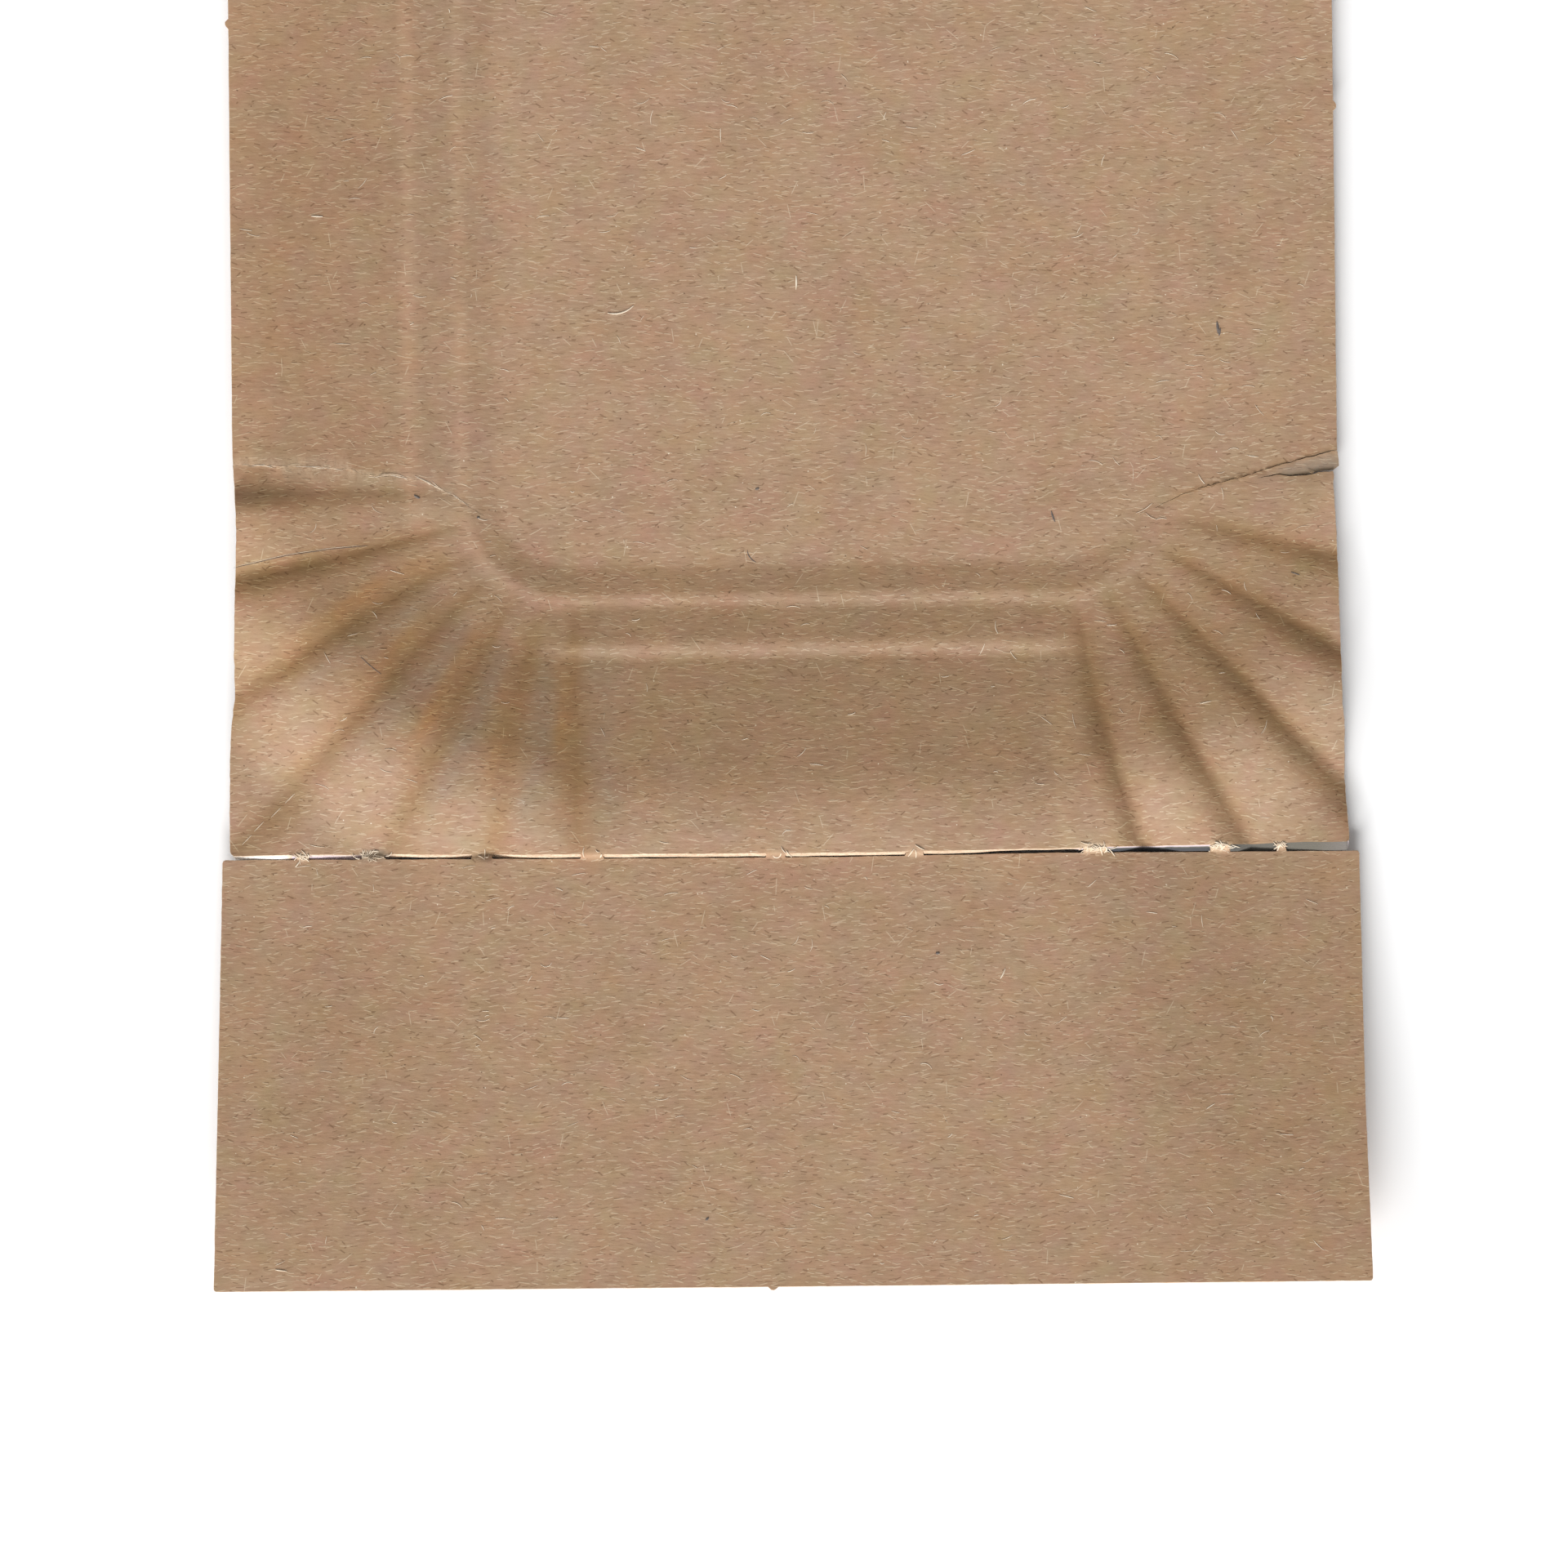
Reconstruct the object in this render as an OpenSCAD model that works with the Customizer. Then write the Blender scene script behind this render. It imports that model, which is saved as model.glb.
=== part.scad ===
// Food tray stamped from one sheet of brown board, with a panel hanging on a nicked tear line.
// The underside of the floor lies on the XY plane with its middle at the origin.
// The tear line crosses the -Y end, and the food side faces +Z.

/* [Sheet] */
// Width of the tray between its side edges
tray_width = 86; // [80:0.5:100]
// Length of the tray from the tear line to the far edge
tray_length = 150; // [135:1:190]
// Thickness of the board
board_t = 0.5; // [0.3:0.05:0.8]
// How far the stamped shape sits to the right of the sheet's middle line
stamp_shift = 2.1; // [0:0.1:3]
// How much each side edge spreads outward where it meets the tear line
end_spread = 0.6; // [0:0.1:1.5]
// How far the pleats draw the end's corners back from the tear line
end_draw = 0.3; // [0:0.05:0.8]
// Radius of the two far corners of the sheet
far_corner_r = 6; // [2:0.5:12]

/* [Floor] */
// Width of the flat floor
floor_width = 49.4; // [40:0.2:56]
// Length of the flat floor
floor_length = 105.4; // [80:0.2:115]
// Radius of the floor's corners
floor_corner_r = 5.5; // [3:0.5:8]

/* [Stepped border] */
// Breadth of the inner rising band
inner_band = 2.3; // [1.5:0.1:3]
// Rise over the inner band
inner_rise = 0.54; // [0.3:0.02:0.8]
// Breadth of the falling face of each ridge
ridge_face = 0.8; // [0.4:0.1:1.2]
// Drop over the falling face of each ridge
ridge_drop = 0.08; // [0:0.02:0.2]
// Breadth of the outer rising band
outer_band = 2.7; // [1.5:0.1:3.5]
// Rise over the outer band
outer_rise = 0.7; // [0.3:0.02:1]

/* [Walls] */
// Height of the walls' crest above the floor
wall_rise = 3.5; // [2.5:0.1:6]
// Curl of the end walls in degrees, where more than 90 dips the rim again
end_curl = 105; // [60:1:120]
// Curl of the side walls in degrees
side_curl = 80; // [45:1:100]
// Extra curl of the pleated corners in degrees, which turns their rims down
corner_curl = 52; // [0:1:55]
// Share of its height that the right side keeps, because it has been pressed flat
right_hold = 0.3; // [0.2:0.05:1]
// Number of pleats over which the right corners get their full height back
hold_pleats = 3; // [1:0.5:6]

/* [Pleats] */
// Number of pleats in each corner
pleats = 6; // [4:1:8]
// Height of a pleat for each millimetre outward from the inner ridge
pleat_growth = 0.05; // [0.02:0.005:0.08]
// Angle of a corner's first pleat valley, from sideways toward the end
fan_start = -1.5; // [-4:0.5:2]
// Angle of a corner's last pleat valley
fan_end = 92; // [88:0.5:94]
// How much wider the middle pleats are than the outer ones
fan_swell = 0.03; // [0:0.01:0.4]

/* [Tear line] */
// Width of the cut between the tray and the panel
cut_gap = 0.15; // [0.1:0.05:0.6]
// Breadth of a plain nick, left uncut to hold the panel
nick_width = 1.5; // [0.8:0.1:2]
// How far a nick reaches into the board on each side of the cut
nick_hold = 0.4; // [0.2:0.1:0.8]

/* [Tear-off panel] */
// Length of the panel from the cut to its free edge
panel_length = 33.8; // [20:0.2:50]
// Width of the panel along the cut
panel_width = 88.8; // [82:0.2:104]
// How much wider the panel is at its free edge
panel_flare = 1.4; // [0:0.1:4]
// How far the panel hangs below the tray's end edge
panel_sag = 0.5; // [0:0.1:0.6]
// Slope of the panel up toward its free edge, in degrees
panel_slope = 2; // [0:0.5:6]

/* [Tears] */
// Width of the left tear at the sheet's edge
left_tear_gap = 0.12; // [0.08:0.02:0.3]
// Width of the right tear at the sheet's edge
right_tear_gap = 0.25; // [0.1:0.05:0.6]
// Depth at which the torn ply beside the right tear lies
ply_depth = 0.25; // [0.1:0.05:0.25]

/* [Hidden] */
board_colour = "#ad8e73";

// Half sizes of the rectangle that joins the four corner centres
core_x = floor_width / 2 - floor_corner_r;
core_y = floor_length / 2 - floor_corner_r;

// Radii of the border's folds about each corner centre
inner_ridge_r = floor_corner_r + inner_band;
outer_foot_r = inner_ridge_r + ridge_face;
outer_ridge_r = outer_foot_r + outer_band;
wall_foot_r = outer_ridge_r + ridge_face;

// Heights of the board at those folds, above the floor
outer_foot_z = inner_rise - ridge_drop;
wall_foot_z = outer_foot_z + outer_rise - ridge_drop;

// Distances from the middle of the stamped shape to the sheet's edges
right_edge = tray_width / 2 - stamp_shift;
left_edge = tray_width / 2 + stamp_shift;
end_edge = tray_length / 2;
end_room = end_edge - core_y;

// Steps of the mesh: rays in each pleat and rings up each wall
pleat_steps = 7;
wall_steps = 7;

// The side edges start to spread at this share of the way to the tear line
spread_start = 0.35;

// Each corner: signs of its centre's x and y, side edge, spread, draw, radius of the sheet there
corners = [
    [1, 1, right_edge, 0, 0, far_corner_r],
    [-1, 1, left_edge, 0, 0, far_corner_r],
    [-1, -1, left_edge, end_spread, end_draw, 0],
    [1, -1, right_edge, end_spread, end_draw, 0],
];
near_left = corners[2];
near_right = corners[3];

// Room from a corner's centre to the side edge
function side_room(corner) = corner[2] - core_x;

// Distance from a corner's centre to the sheet's edge, phi degrees from sideways toward the end
function straight_reach(room_x, room_y, phi) =
    min(room_x / max(cos(phi), 0.0001), room_y / max(sin(phi), 0.0001));
function arc_reach(mid_x, mid_y, radius, phi) =
    let (along = mid_x * cos(phi) + mid_y * sin(phi),
         beyond = mid_x * mid_x + mid_y * mid_y - radius * radius)
    along + sqrt(max(along * along - beyond, 0));
function reach(corner, phi) =
    let (first = straight_reach(side_room(corner), end_room, phi),
         share_x = first * cos(phi) / side_room(corner),
         share_y = first * sin(phi) / end_room,
         room_x = side_room(corner) + corner[3] * max(0, share_y - spread_start) / (1 - spread_start),
         room_y = end_room - corner[4] * share_x * share_x,
         plain = straight_reach(room_x, room_y, phi),
         arc_x = room_x - corner[5],
         arc_y = room_y - corner[5])
    plain * cos(phi) > arc_x && plain * sin(phi) > arc_y ? arc_reach(arc_x, arc_y, corner[5], phi) : plain;

// Angle at a share of the way through the fan, and the share at an angle
function swell(share) = fan_swell * sin(360 * share) / (2 * PI);
function fan_angle(share) = fan_start + (fan_end - fan_start) * (share - swell(share));
function fan_share(phi, guess = 0.5, rounds = 12) =
    rounds == 0 ? guess : fan_share(phi, (phi - fan_start) / (fan_end - fan_start) + swell(guess), rounds - 1);

// Shares of one corner's rays, one of them aimed at the sheet's corner
function fan_shares(corner) =
    let (tip = fan_share(atan2(end_room - corner[4], side_room(corner) + corner[3])),
         count = pleats * pleat_steps,
         near_tip = 0.25 / count,
         steps = [for (k = [0:count]) k / count])
    concat(
        [for (share = steps) if (share < tip - near_tip) share],
        [tip],
        [for (share = steps) if (share > tip + near_tip) share]);

// How deep a ray lies inside the fan: 0 at its two borders, 1 from one pleat inward
function fan_depth(share) = max(0, min(1, pleats * min(share, 1 - share)));

// Share of the stamped height that is left at a ray
function hold(corner, share) =
    corner[0] > 0 ? right_hold + (1 - right_hold) * min(1, pleats * share / hold_pleats) : 1;

// Height of the stepped border, whose outer ridge fades out inside the fan
function border_z(r, share) = lookup(r, [
    [floor_corner_r, 0],
    [inner_ridge_r, inner_rise],
    [outer_foot_r, outer_foot_z],
    [outer_ridge_r, wall_foot_z + ridge_drop * (1 - fan_depth(share))],
    [wall_foot_r, wall_foot_z],
]);

// Height of the wall, where part_way runs from 0 at its foot to 1 at the rim
function wall_z(part_way, share) =
    let (curl = side_curl + (end_curl - side_curl) * share + corner_curl * fan_depth(share))
    wall_foot_z + (wall_rise - wall_foot_z) * sin(curl * part_way);

// Height that the pleats add: sharp valleys, rounded ridges, level with the wall on average
function pleat_z(r, share) =
    pleat_growth * max(0, r - outer_foot_r) * (abs(sin(180 * pleats * share)) - fan_depth(share) / 2);

// Points of one ray from the floor's edge to the rim
function ray_points(corner, share) =
    let (phi = fan_angle(share),
         rim_r = reach(corner, phi),
         left_over = hold(corner, share),
         border = [for (r = [floor_corner_r, inner_ridge_r, outer_foot_r, outer_ridge_r, wall_foot_r])
             [r, left_over * border_z(r, share)]],
         wall = [for (k = [1:wall_steps])
             [wall_foot_r + (rim_r - wall_foot_r) * k / wall_steps, left_over * wall_z(k / wall_steps, share)]])
    [for (p = concat(border, wall))
        [corner[0] * (core_x + p[0] * cos(phi)),
         corner[1] * (core_y + p[0] * sin(phi)),
         p[1] + pleat_z(p[0], share)]];

// All rays in order round the tray, starting at the right side
function corner_rays(corner) =
    let (shares = fan_shares(corner),
         last = len(shares) - 1,
         forward = corner[0] * corner[1] > 0)
    [for (k = [0:last]) ray_points(corner, shares[forward ? k : last - k])];
rays = [for (corner = corners) each corner_rays(corner)];

// Point on the tray's end edge at a given x
function end_point(x) =
    let (corner = x < 0 ? near_left : near_right,
         past = abs(x) - core_x,
         phi = past > 0 ? atan2(end_room, past) : 90,
         share = min(1, fan_share(phi)),
         rim_r = reach(corner, phi))
    [x, -core_y - rim_r * sin(phi), hold(corner, share) * wall_z(1, share) + pleat_z(rim_r, share)];

// Heights of the side rims and of the panel's edge along the cut
left_rim_z = wall_z(1, 0);
right_rim_z = right_hold * left_rim_z;
panel_edge_z = wall_z(1, 1) - panel_sag;

// Stamped sheet, one closed solid whose two faces lie board_t apart
module stamped_sheet() {
    ray_count = len(rays);
    ring_count = len(rays[0]);
    under = [for (ray = rays) each ray];
    lift = len(under);
    function at(ray, ring) = (ray % ray_count) * ring_count + ring;
    floor_edge = [for (i = [0:ray_count - 1]) at(i, 0)];
    slopes = [for (i = [0:ray_count - 1], j = [0:ring_count - 2]) each [
        [at(i, j), at(i, j + 1), at(i + 1, j + 1)],
        [at(i, j), at(i + 1, j + 1), at(i + 1, j)]]];
    rim = [for (i = [0:ray_count - 1])
        let (a = at(i, ring_count - 1), b = at(i + 1, ring_count - 1))
        each [[a, a + lift, b + lift], [a, b + lift, b]]];
    polyhedron(
        points = concat(under, [for (p = under) p + [0, 0, board_t]]),
        faces = concat(
            [floor_edge],
            slopes,
            [[for (i = [ray_count - 1:-1:0]) floor_edge[i] + lift]],
            [for (f = slopes) [f[2] + lift, f[1] + lift, f[0] + lift]],
            rim),
        convexity = 8);
}

// Panel past the cut, a flat plate that slopes up toward its free edge
module tear_off_panel() {
    half = panel_width / 2;
    flare = panel_flare / 2;
    translate([-stamp_shift, -end_edge - cut_gap, panel_edge_z])
        rotate([-panel_slope, 0, 0])
            linear_extrude(board_t)
                polygon([[-half, 0], [half, 0], [half + flare, -panel_length], [-half - flare, -panel_length]]);
}

// Nicks along the cut: place as a share of the panel's width, breadth as a share of a plain nick
nicks = [
    [0.071, 0.6], [0.135, 1.2], [0.229, 1.1], [0.325, 1.05], [0.486, 1.05],
    [0.608, 1], [0.767, 1.3], [0.877, 1.4], [0.931, 0.7],
];
nick_post = 0.1;
nick_t = 0.8 * board_t;
module nick(x, breadth) {
    low = (board_t - nick_t) / 2;
    hull()
        for (side = [-0.5, 0.5]) {
            edge = end_point(x + side * breadth);
            translate([edge[0], edge[1] + nick_hold, edge[2] + low])
                cube([nick_post, nick_post, nick_t]);
            translate([edge[0], -end_edge - cut_gap - nick_hold, panel_edge_z + low])
                cube([nick_post, nick_post, nick_t]);
        }
}
module nick_row() {
    for (n = nicks)
        nick(-stamp_shift + (n[0] - 0.5) * panel_width, n[1] * nick_width);
}

// Nubs left on the sheet's edges where it was cut loose from its neighbours
nub_width = 0.8;
nub_r = 0.3;
nub_reach = 0.22;
nub_t = 0.7 * board_t;
side_nubs = [[-1, 0.43], [1, 0.39]];
panel_nub_x = -3.5;
module nub() {
    hull()
        for (side = [-0.5, 0.5])
            translate([nub_reach - nub_r, side * nub_width / 2, (board_t - nub_t) / 2])
                cylinder(h = nub_t, r = nub_r, $fn = 12);
}
module nub_row() {
    for (n = side_nubs) {
        edge = n[0] > 0 ? [right_edge, right_rim_z] : [-left_edge, left_rim_z];
        translate([edge[0], end_edge * (2 * n[1] - 1), edge[1]])
            scale([n[0], 1, 1])
                nub();
    }
    translate([panel_nub_x, -end_edge - cut_gap, panel_edge_z])
        rotate([-panel_slope, 0, 0])
            translate([0, -panel_length, 0])
                rotate(-90)
                    nub();
}

// Tears in a corner: distance outward as a share of the way from the inner ridge to the sheet's
// edge, then the distance from the corner's centre toward the tray's middle
left_tear_line = [[-0.02, -1.3], [0.07, 0.2], [0.2, 1.3], [0.37, 1.4], [0.51, 2.2], [1.05, 2.6]];
right_tear_line = [[0, -1.6], [0.14, -0.6], [0.28, 0.1], [0.5, 0.9], [0.73, 1.8], [1.05, 2.7]];
ply_line = [[0.53, 0.9], [0.73, 0.7], [0.86, 1], [1.05, 1.2]];
function tear_point(corner, p, rise) =
    [corner[0] * (core_x + inner_ridge_r + p[0] * (side_room(corner) - inner_ridge_r)),
     corner[1] * (core_y - p[1]) + rise];
function tear_side(corner, line, width) =
    [for (p = line) tear_point(corner, p, width * max(p[0], 0.1))];
function backward(list) = [for (i = [len(list) - 1:-1:0]) list[i]];
cut_height = board_t + 2 * wall_rise;
module tear(corner, line, gap) {
    translate([0, 0, -board_t])
        linear_extrude(cut_height + 2 * board_t)
            polygon(concat(tear_side(corner, line, gap / 2), backward(tear_side(corner, line, -gap / 2))));
}

// Top of the board beside the right tear, where the outer ply is torn off
module torn_ply() {
    inner = [for (p = right_tear_line) if (p[0] >= ply_line[0][0] - 0.05) p];
    intersection() {
        translate([0, 0, board_t - ply_depth])
            stamped_sheet();
        translate([0, 0, -board_t])
            linear_extrude(cut_height + 2 * board_t)
                polygon(concat(tear_side(near_right, inner, 0), backward(tear_side(near_right, ply_line, 0))));
    }
}

module tray() {
    color(board_colour)
        difference() {
            union() {
                stamped_sheet();
                tear_off_panel();
                nick_row();
                nub_row();
            }
            tear(near_left, left_tear_line, left_tear_gap);
            tear(near_right, right_tear_line, right_tear_gap);
            torn_ply();
        }
}

tray();
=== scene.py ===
"""Food tray of brown board: one cut, perforated and stamped sheet with a tear-off panel."""
import math

import bpy
import numpy as np
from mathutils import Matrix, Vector, kdtree
from mathutils.geometry import delaunay_2d_cdt


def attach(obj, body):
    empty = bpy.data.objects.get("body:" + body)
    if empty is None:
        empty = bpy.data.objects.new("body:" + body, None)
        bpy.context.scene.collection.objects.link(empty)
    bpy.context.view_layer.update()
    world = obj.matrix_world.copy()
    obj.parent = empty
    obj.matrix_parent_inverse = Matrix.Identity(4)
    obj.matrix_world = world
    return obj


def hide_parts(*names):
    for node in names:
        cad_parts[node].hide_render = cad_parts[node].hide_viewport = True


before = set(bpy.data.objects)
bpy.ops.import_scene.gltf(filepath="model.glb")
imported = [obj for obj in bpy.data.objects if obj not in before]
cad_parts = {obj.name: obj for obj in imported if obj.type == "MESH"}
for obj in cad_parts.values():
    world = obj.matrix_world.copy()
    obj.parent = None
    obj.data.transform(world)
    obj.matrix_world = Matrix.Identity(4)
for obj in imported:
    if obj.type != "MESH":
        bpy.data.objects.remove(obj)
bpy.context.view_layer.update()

MM = 0.001
rng = np.random.default_rng(41)

# Sizes in millimetres. Board, floor and length are the solid's, and each fold stands within 0.5 of its own
BOARD_T = 0.5
CORE_X, CORE_Y = 19.2, 47.2
FLOOR_R, RIDGE_1_R, FOOT_1_R, RIDGE_2_R, FOOT_2_R = 5.5, 7.9, 8.6, 11.8, 12.6
RIDGE_1_Z, FOOT_1_Z, FOOT_2_Z, RIM_Z = 0.54, 0.41, 1.0, 3.6
# Half width over which each fold is rounded, and the same where the pleats smooth the border out
FLOOR_SOFT, RIDGE_1_SOFT, FOOT_1_SOFT, RIDGE_2_SOFT, FOOT_2_SOFT = 0.35, 0.14, 0.3, 0.42, 0.2
PLAIN_SOFT = 0.8
# How much steeper the outer ridge falls than the inner one
OUTER_FALL = 1.15
END_Y = 75.0
# Middle of the cut, of its nicks, the panel's edge beside it, and where the tray's own form stops
CUT_Y, NICK_Y, PANEL_Y, TRAY_LIMIT_Y = -75.2, -75.1, -75.4, -75.3
PANEL_FREE_Y = -109
PANEL_SLOPE = math.tan(math.radians(2.2))
# How far the panel lies below the rim, and how much more its corners beside the cut sink, left and right
PANEL_DROP = 0.66
LEFT_SINK, RIGHT_SINK = 1.35, 2.0
# Heights of the undulation over the tray, slow and fine, and over the panel
SLOW_WAVE, FINE_WAVE, PANEL_WAVE = 0.06, 0.025, 0.05

# Where the walls crest, measured outward from the corner centres
SIDE_CREST, END_CREST, FAN_CREST = 27.0, 26.0, 23.4
# How far the board droops past its crest, on the walls and in the corners, and over what distance
END_DROOP, FAN_DROOP, DROOP_REACH = 1.2, 2.1, 9.5
# How much further the right corner's rims droop than the left one's
RIGHT_DROOP = 1.1
# Share of a pleat's breadth at which its ridge stands, and how its long face curves down from there
RIDGE_SHARE, FALL_POWER = 0.32, 1.65
# Share of the way up to the crest where the wall is straight, and where it bends over
STRAIGHT, BEND = 0.62, 0.38

# Angles of the pleat valleys at the border and at the rim, from sideways toward the end
LEFT_VALLEYS = [[-2.5, 14.2, 29.3, 44.3, 60.5, 76, 92], [-2, 13, 30.2, 45.4, 62, 77.6, 91.6]]
RIGHT_VALLEYS = [[-6, 13.2, 29.6, 46.2, 63.6, 80.5, 95], [-6, 13.4, 29.8, 46.2, 62, 77.2, 90]]
# Radii between which a valley turns from its first angle to its second
TURN_FROM_R, TURN_TO_R = 12, 30
PLEATS = 6
# Rise of a pleat for each millimetre outward, from where, and over how far
PLEAT_GROWTH, PLEAT_START_R, PLEAT_REACH = 0.052, 7.4, 21.2
# Share of its rise by which a pleat lies lower, and what the first pleat adds to that
PLEAT_SINK, FIRST_PLEAT_SINK = 0.5, 0.2
# How much lower the walls crest at the first pleats
FIRST_PLEAT_DROP = 0.31

# Strength of each pleat's bulge, from sideways toward the end
LEFT_BULGES = [1.15, 0.6, 0.6, 0.65, 0.6, 0.5]
RIGHT_BULGES = [0.5, 0.8, 0.85, 0.8, 0.85, 0.7]

# How strongly each side holds the stamped relief, of which the right one is pressed flat
LEFT_HOLD, RIGHT_HOLD = 0.92, 0.33
# Number of pleats over which a corner gets its full height back
LEFT_RECOVERY, RIGHT_RECOVERY = 1.0, 4.5


def linked(name, data):
    """An object in the scene."""
    thing = bpy.data.objects.new(name, data)
    bpy.context.scene.collection.objects.link(thing)
    return thing


# Heights

def smooth(low, high, x):
    t = np.clip((x - low) / (high - low), 0, 1)
    return t * t * (3 - 2 * t)


def ramp(d, soft):
    """Zero below the fold, then rising one for one, rounded over the given half width."""
    return np.where(d <= -soft, 0, np.where(d >= soft, d, (d + soft) ** 2 / (4 * soft)))


def waves(x, y, seed, lengths):
    """Smooth random undulation between about -1 and 1."""
    local = np.random.default_rng(seed)
    z = 0 * x
    for length in lengths:
        turn, phase = local.uniform(0, 2 * math.pi, 2)
        z = z + np.sin((x * math.cos(turn) + y * math.sin(turn)) * 2 * math.pi / length + phase)
    return z / len(lengths)


def turned(r):
    """How far a valley has turned from its angle at the border to that at the rim, 0 to 1."""
    return smooth(TURN_FROM_R, TURN_TO_R, r)


def polar(x, y):
    """Distance r from the core, and the pleat number t from 0 at the side to 6 at the end."""
    out_x, out_y = np.abs(x) - CORE_X, np.abs(y) - CORE_Y
    turn = turned(np.hypot(out_x, out_y))
    angle = np.degrees(np.arctan2(out_y, out_x))
    low = [np.where(x < 0, a, b) for a, b in zip(LEFT_VALLEYS[0], RIGHT_VALLEYS[0])]
    high = [np.where(x < 0, a, b) for a, b in zip(LEFT_VALLEYS[1], RIGHT_VALLEYS[1])]
    lines = [a + (b - a) * turn for a, b in zip(low, high)]
    t = 0 * x
    for a, b in zip(lines[:-1], lines[1:]):
        t = t + np.clip((angle - a) / (b - a), 0, 1)
    fan = ((out_x > 0) | (out_y > 0)) & (angle >= lines[0]) & (angle <= lines[-1])
    t = np.where(fan, t, np.where(out_x > out_y, 0.0, float(PLEATS)))
    r = np.where(fan, np.hypot(out_x, out_y), np.maximum(out_x, out_y))
    return r, t


def border_z(r, hold, climb, depth):
    """The stepped border, smoothed out where the pleats cross it, and the wall's rise at its foot."""
    ridge = RIDGE_1_Z * hold
    foot = FOOT_1_Z * hold
    wall_foot = FOOT_2_Z * hold
    rise_1 = ridge / (RIDGE_1_R - FLOOR_R)
    fall_1 = (foot - ridge) / (FOOT_1_R - RIDGE_1_R)
    rise_2 = (wall_foot - foot + OUTER_FALL * (ridge - foot)) / (RIDGE_2_R - FOOT_1_R)
    fall_2 = OUTER_FALL * fall_1
    plain_rise = (wall_foot - foot) / (FOOT_2_R - FOOT_1_R)
    inner = rise_1 * ramp(r - FLOOR_R, FLOOR_SOFT) + (fall_1 - rise_1) * ramp(r - RIDGE_1_R, RIDGE_1_SOFT)
    stepped = inner + (rise_2 - fall_1) * ramp(r - FOOT_1_R, FOOT_1_SOFT)
    stepped = stepped + (fall_2 - rise_2) * ramp(r - RIDGE_2_R, RIDGE_2_SOFT)
    stepped = stepped + (climb - fall_2) * ramp(r - FOOT_2_R, FOOT_2_SOFT)
    plain = inner + (plain_rise - fall_1) * ramp(r - FOOT_1_R, PLAIN_SOFT)
    plain = plain + (climb - plain_rise) * ramp(r - FOOT_2_R, PLAIN_SOFT)
    return stepped * (1 - depth) + plain * depth


def wall_z(x, r, crest, climb, depth):
    """The wall's rise from its foot: straight, bent over to its crest, and drooping past it."""
    part = np.clip((r - FOOT_2_R) / (crest - FOOT_2_R), 0, 1)
    bent = np.maximum(0, part - STRAIGHT) / BEND
    risen = np.minimum(part, STRAIGHT) + BEND * (bent / 2 + np.sin(math.pi * bent) / (2 * math.pi))
    fan_droop = np.where(x < 0, 1.0, RIGHT_DROOP) * FAN_DROOP
    droop = END_DROOP + (fan_droop - END_DROOP) * depth
    past = np.maximum(0, r - crest)
    return climb * (crest - FOOT_2_R) * risen - droop * smooth(0, DROOP_REACH, past)


def pleat_z(x, r, t, depth):
    """The pleats' own rise and fall, which grows outward."""
    local = np.clip(t - np.floor(np.clip(t, 0, PLEATS - 1e-6)), 0, 1)
    rising = np.sin(math.pi / 2 * local / RIDGE_SHARE)
    fallen = np.clip((local - RIDGE_SHARE) / (1 - RIDGE_SHARE), 0, 1)
    wave = np.where(local < RIDGE_SHARE, rising, 1 - fallen ** FALL_POWER)
    middle = np.arange(PLEATS) + 0.5
    bulge = np.where(x < 0, np.interp(t, middle, LEFT_BULGES), np.interp(t, middle, RIGHT_BULGES))
    outward = 0.5 + 0.5 * smooth(17, 27, r)
    swell = PLEAT_GROWTH * bulge * outward * np.clip(r - PLEAT_START_R, 0, PLEAT_REACH)
    below = PLEAT_SINK + FIRST_PLEAT_SINK * (1 - smooth(1.0, 2.0, t))
    return swell * (wave - below * depth)


def tray_z(x, y):
    """Height of the stamped sheet's underside."""
    r, t = polar(x, y)
    # How deep in the fan a point lies: 0 on the walls, 1 from one pleat inward
    depth = np.clip(np.minimum(t, PLEATS - t), 0, 1)
    side_hold = np.where(x < 0, LEFT_HOLD, RIGHT_HOLD)
    recovery = np.where(x < 0, LEFT_RECOVERY, RIGHT_RECOVERY)
    hold = side_hold + (1 - side_hold) * smooth(0, recovery, t)
    share = t / PLEATS
    crest = SIDE_CREST + (FAN_CREST - SIDE_CREST) * smooth(0, 0.4, share)
    crest = crest + (END_CREST - FAN_CREST) * smooth(0.88, 1.0, share)
    top = (RIM_Z - FIRST_PLEAT_DROP * depth * (1 - smooth(1.0, 2.5, t))) * hold
    climb = (top - FOOT_2_Z * hold) / (STRAIGHT + BEND / 2) / (crest - FOOT_2_R)
    wall = wall_z(x, r, crest, climb, depth)
    z = border_z(r, hold, climb, depth) + np.where(r > FOOT_2_R, wall - climb * (r - FOOT_2_R), 0)
    return z + pleat_z(x, r, t, depth)


# Plan of the sheet

# The side edges: place along the tray, then the edge's x
LEFT_EDGE = [
    (-43.9, -45.18), (-45.8, -45.09), (-46.8, -45.02), (-49.6, -44.93), (-52.2, -45.03),
    (-55.4, -45.14), (-59.2, -45.24), (-63.0, -45.27), (-64.9, -45.56), (-68.8, -45.73),
    (-73.4, -45.79),
]
RIGHT_EDGE = [
    (-44.9, 40.98), (-46.8, 40.62), (-47.8, 40.70), (-50.6, 40.86), (-53.5, 40.94),
    (-56.4, 40.98), (-60.2, 41.07), (-64.0, 41.15), (-65.9, 41.32), (-69.7, 41.28),
    (-74.4, 41.58),
]
SIDE_X = (-45.12, 40.97)
FAR_R = 6.0

# The panel's corners: left and right beside the cut, then right and left at its free edge
PANEL = [(-46.38, -75.38), (42.36, -75.60), (42.93, -109.06), (-47.33, -108.93)]
PANEL_CORNER_R = 0.2
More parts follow.
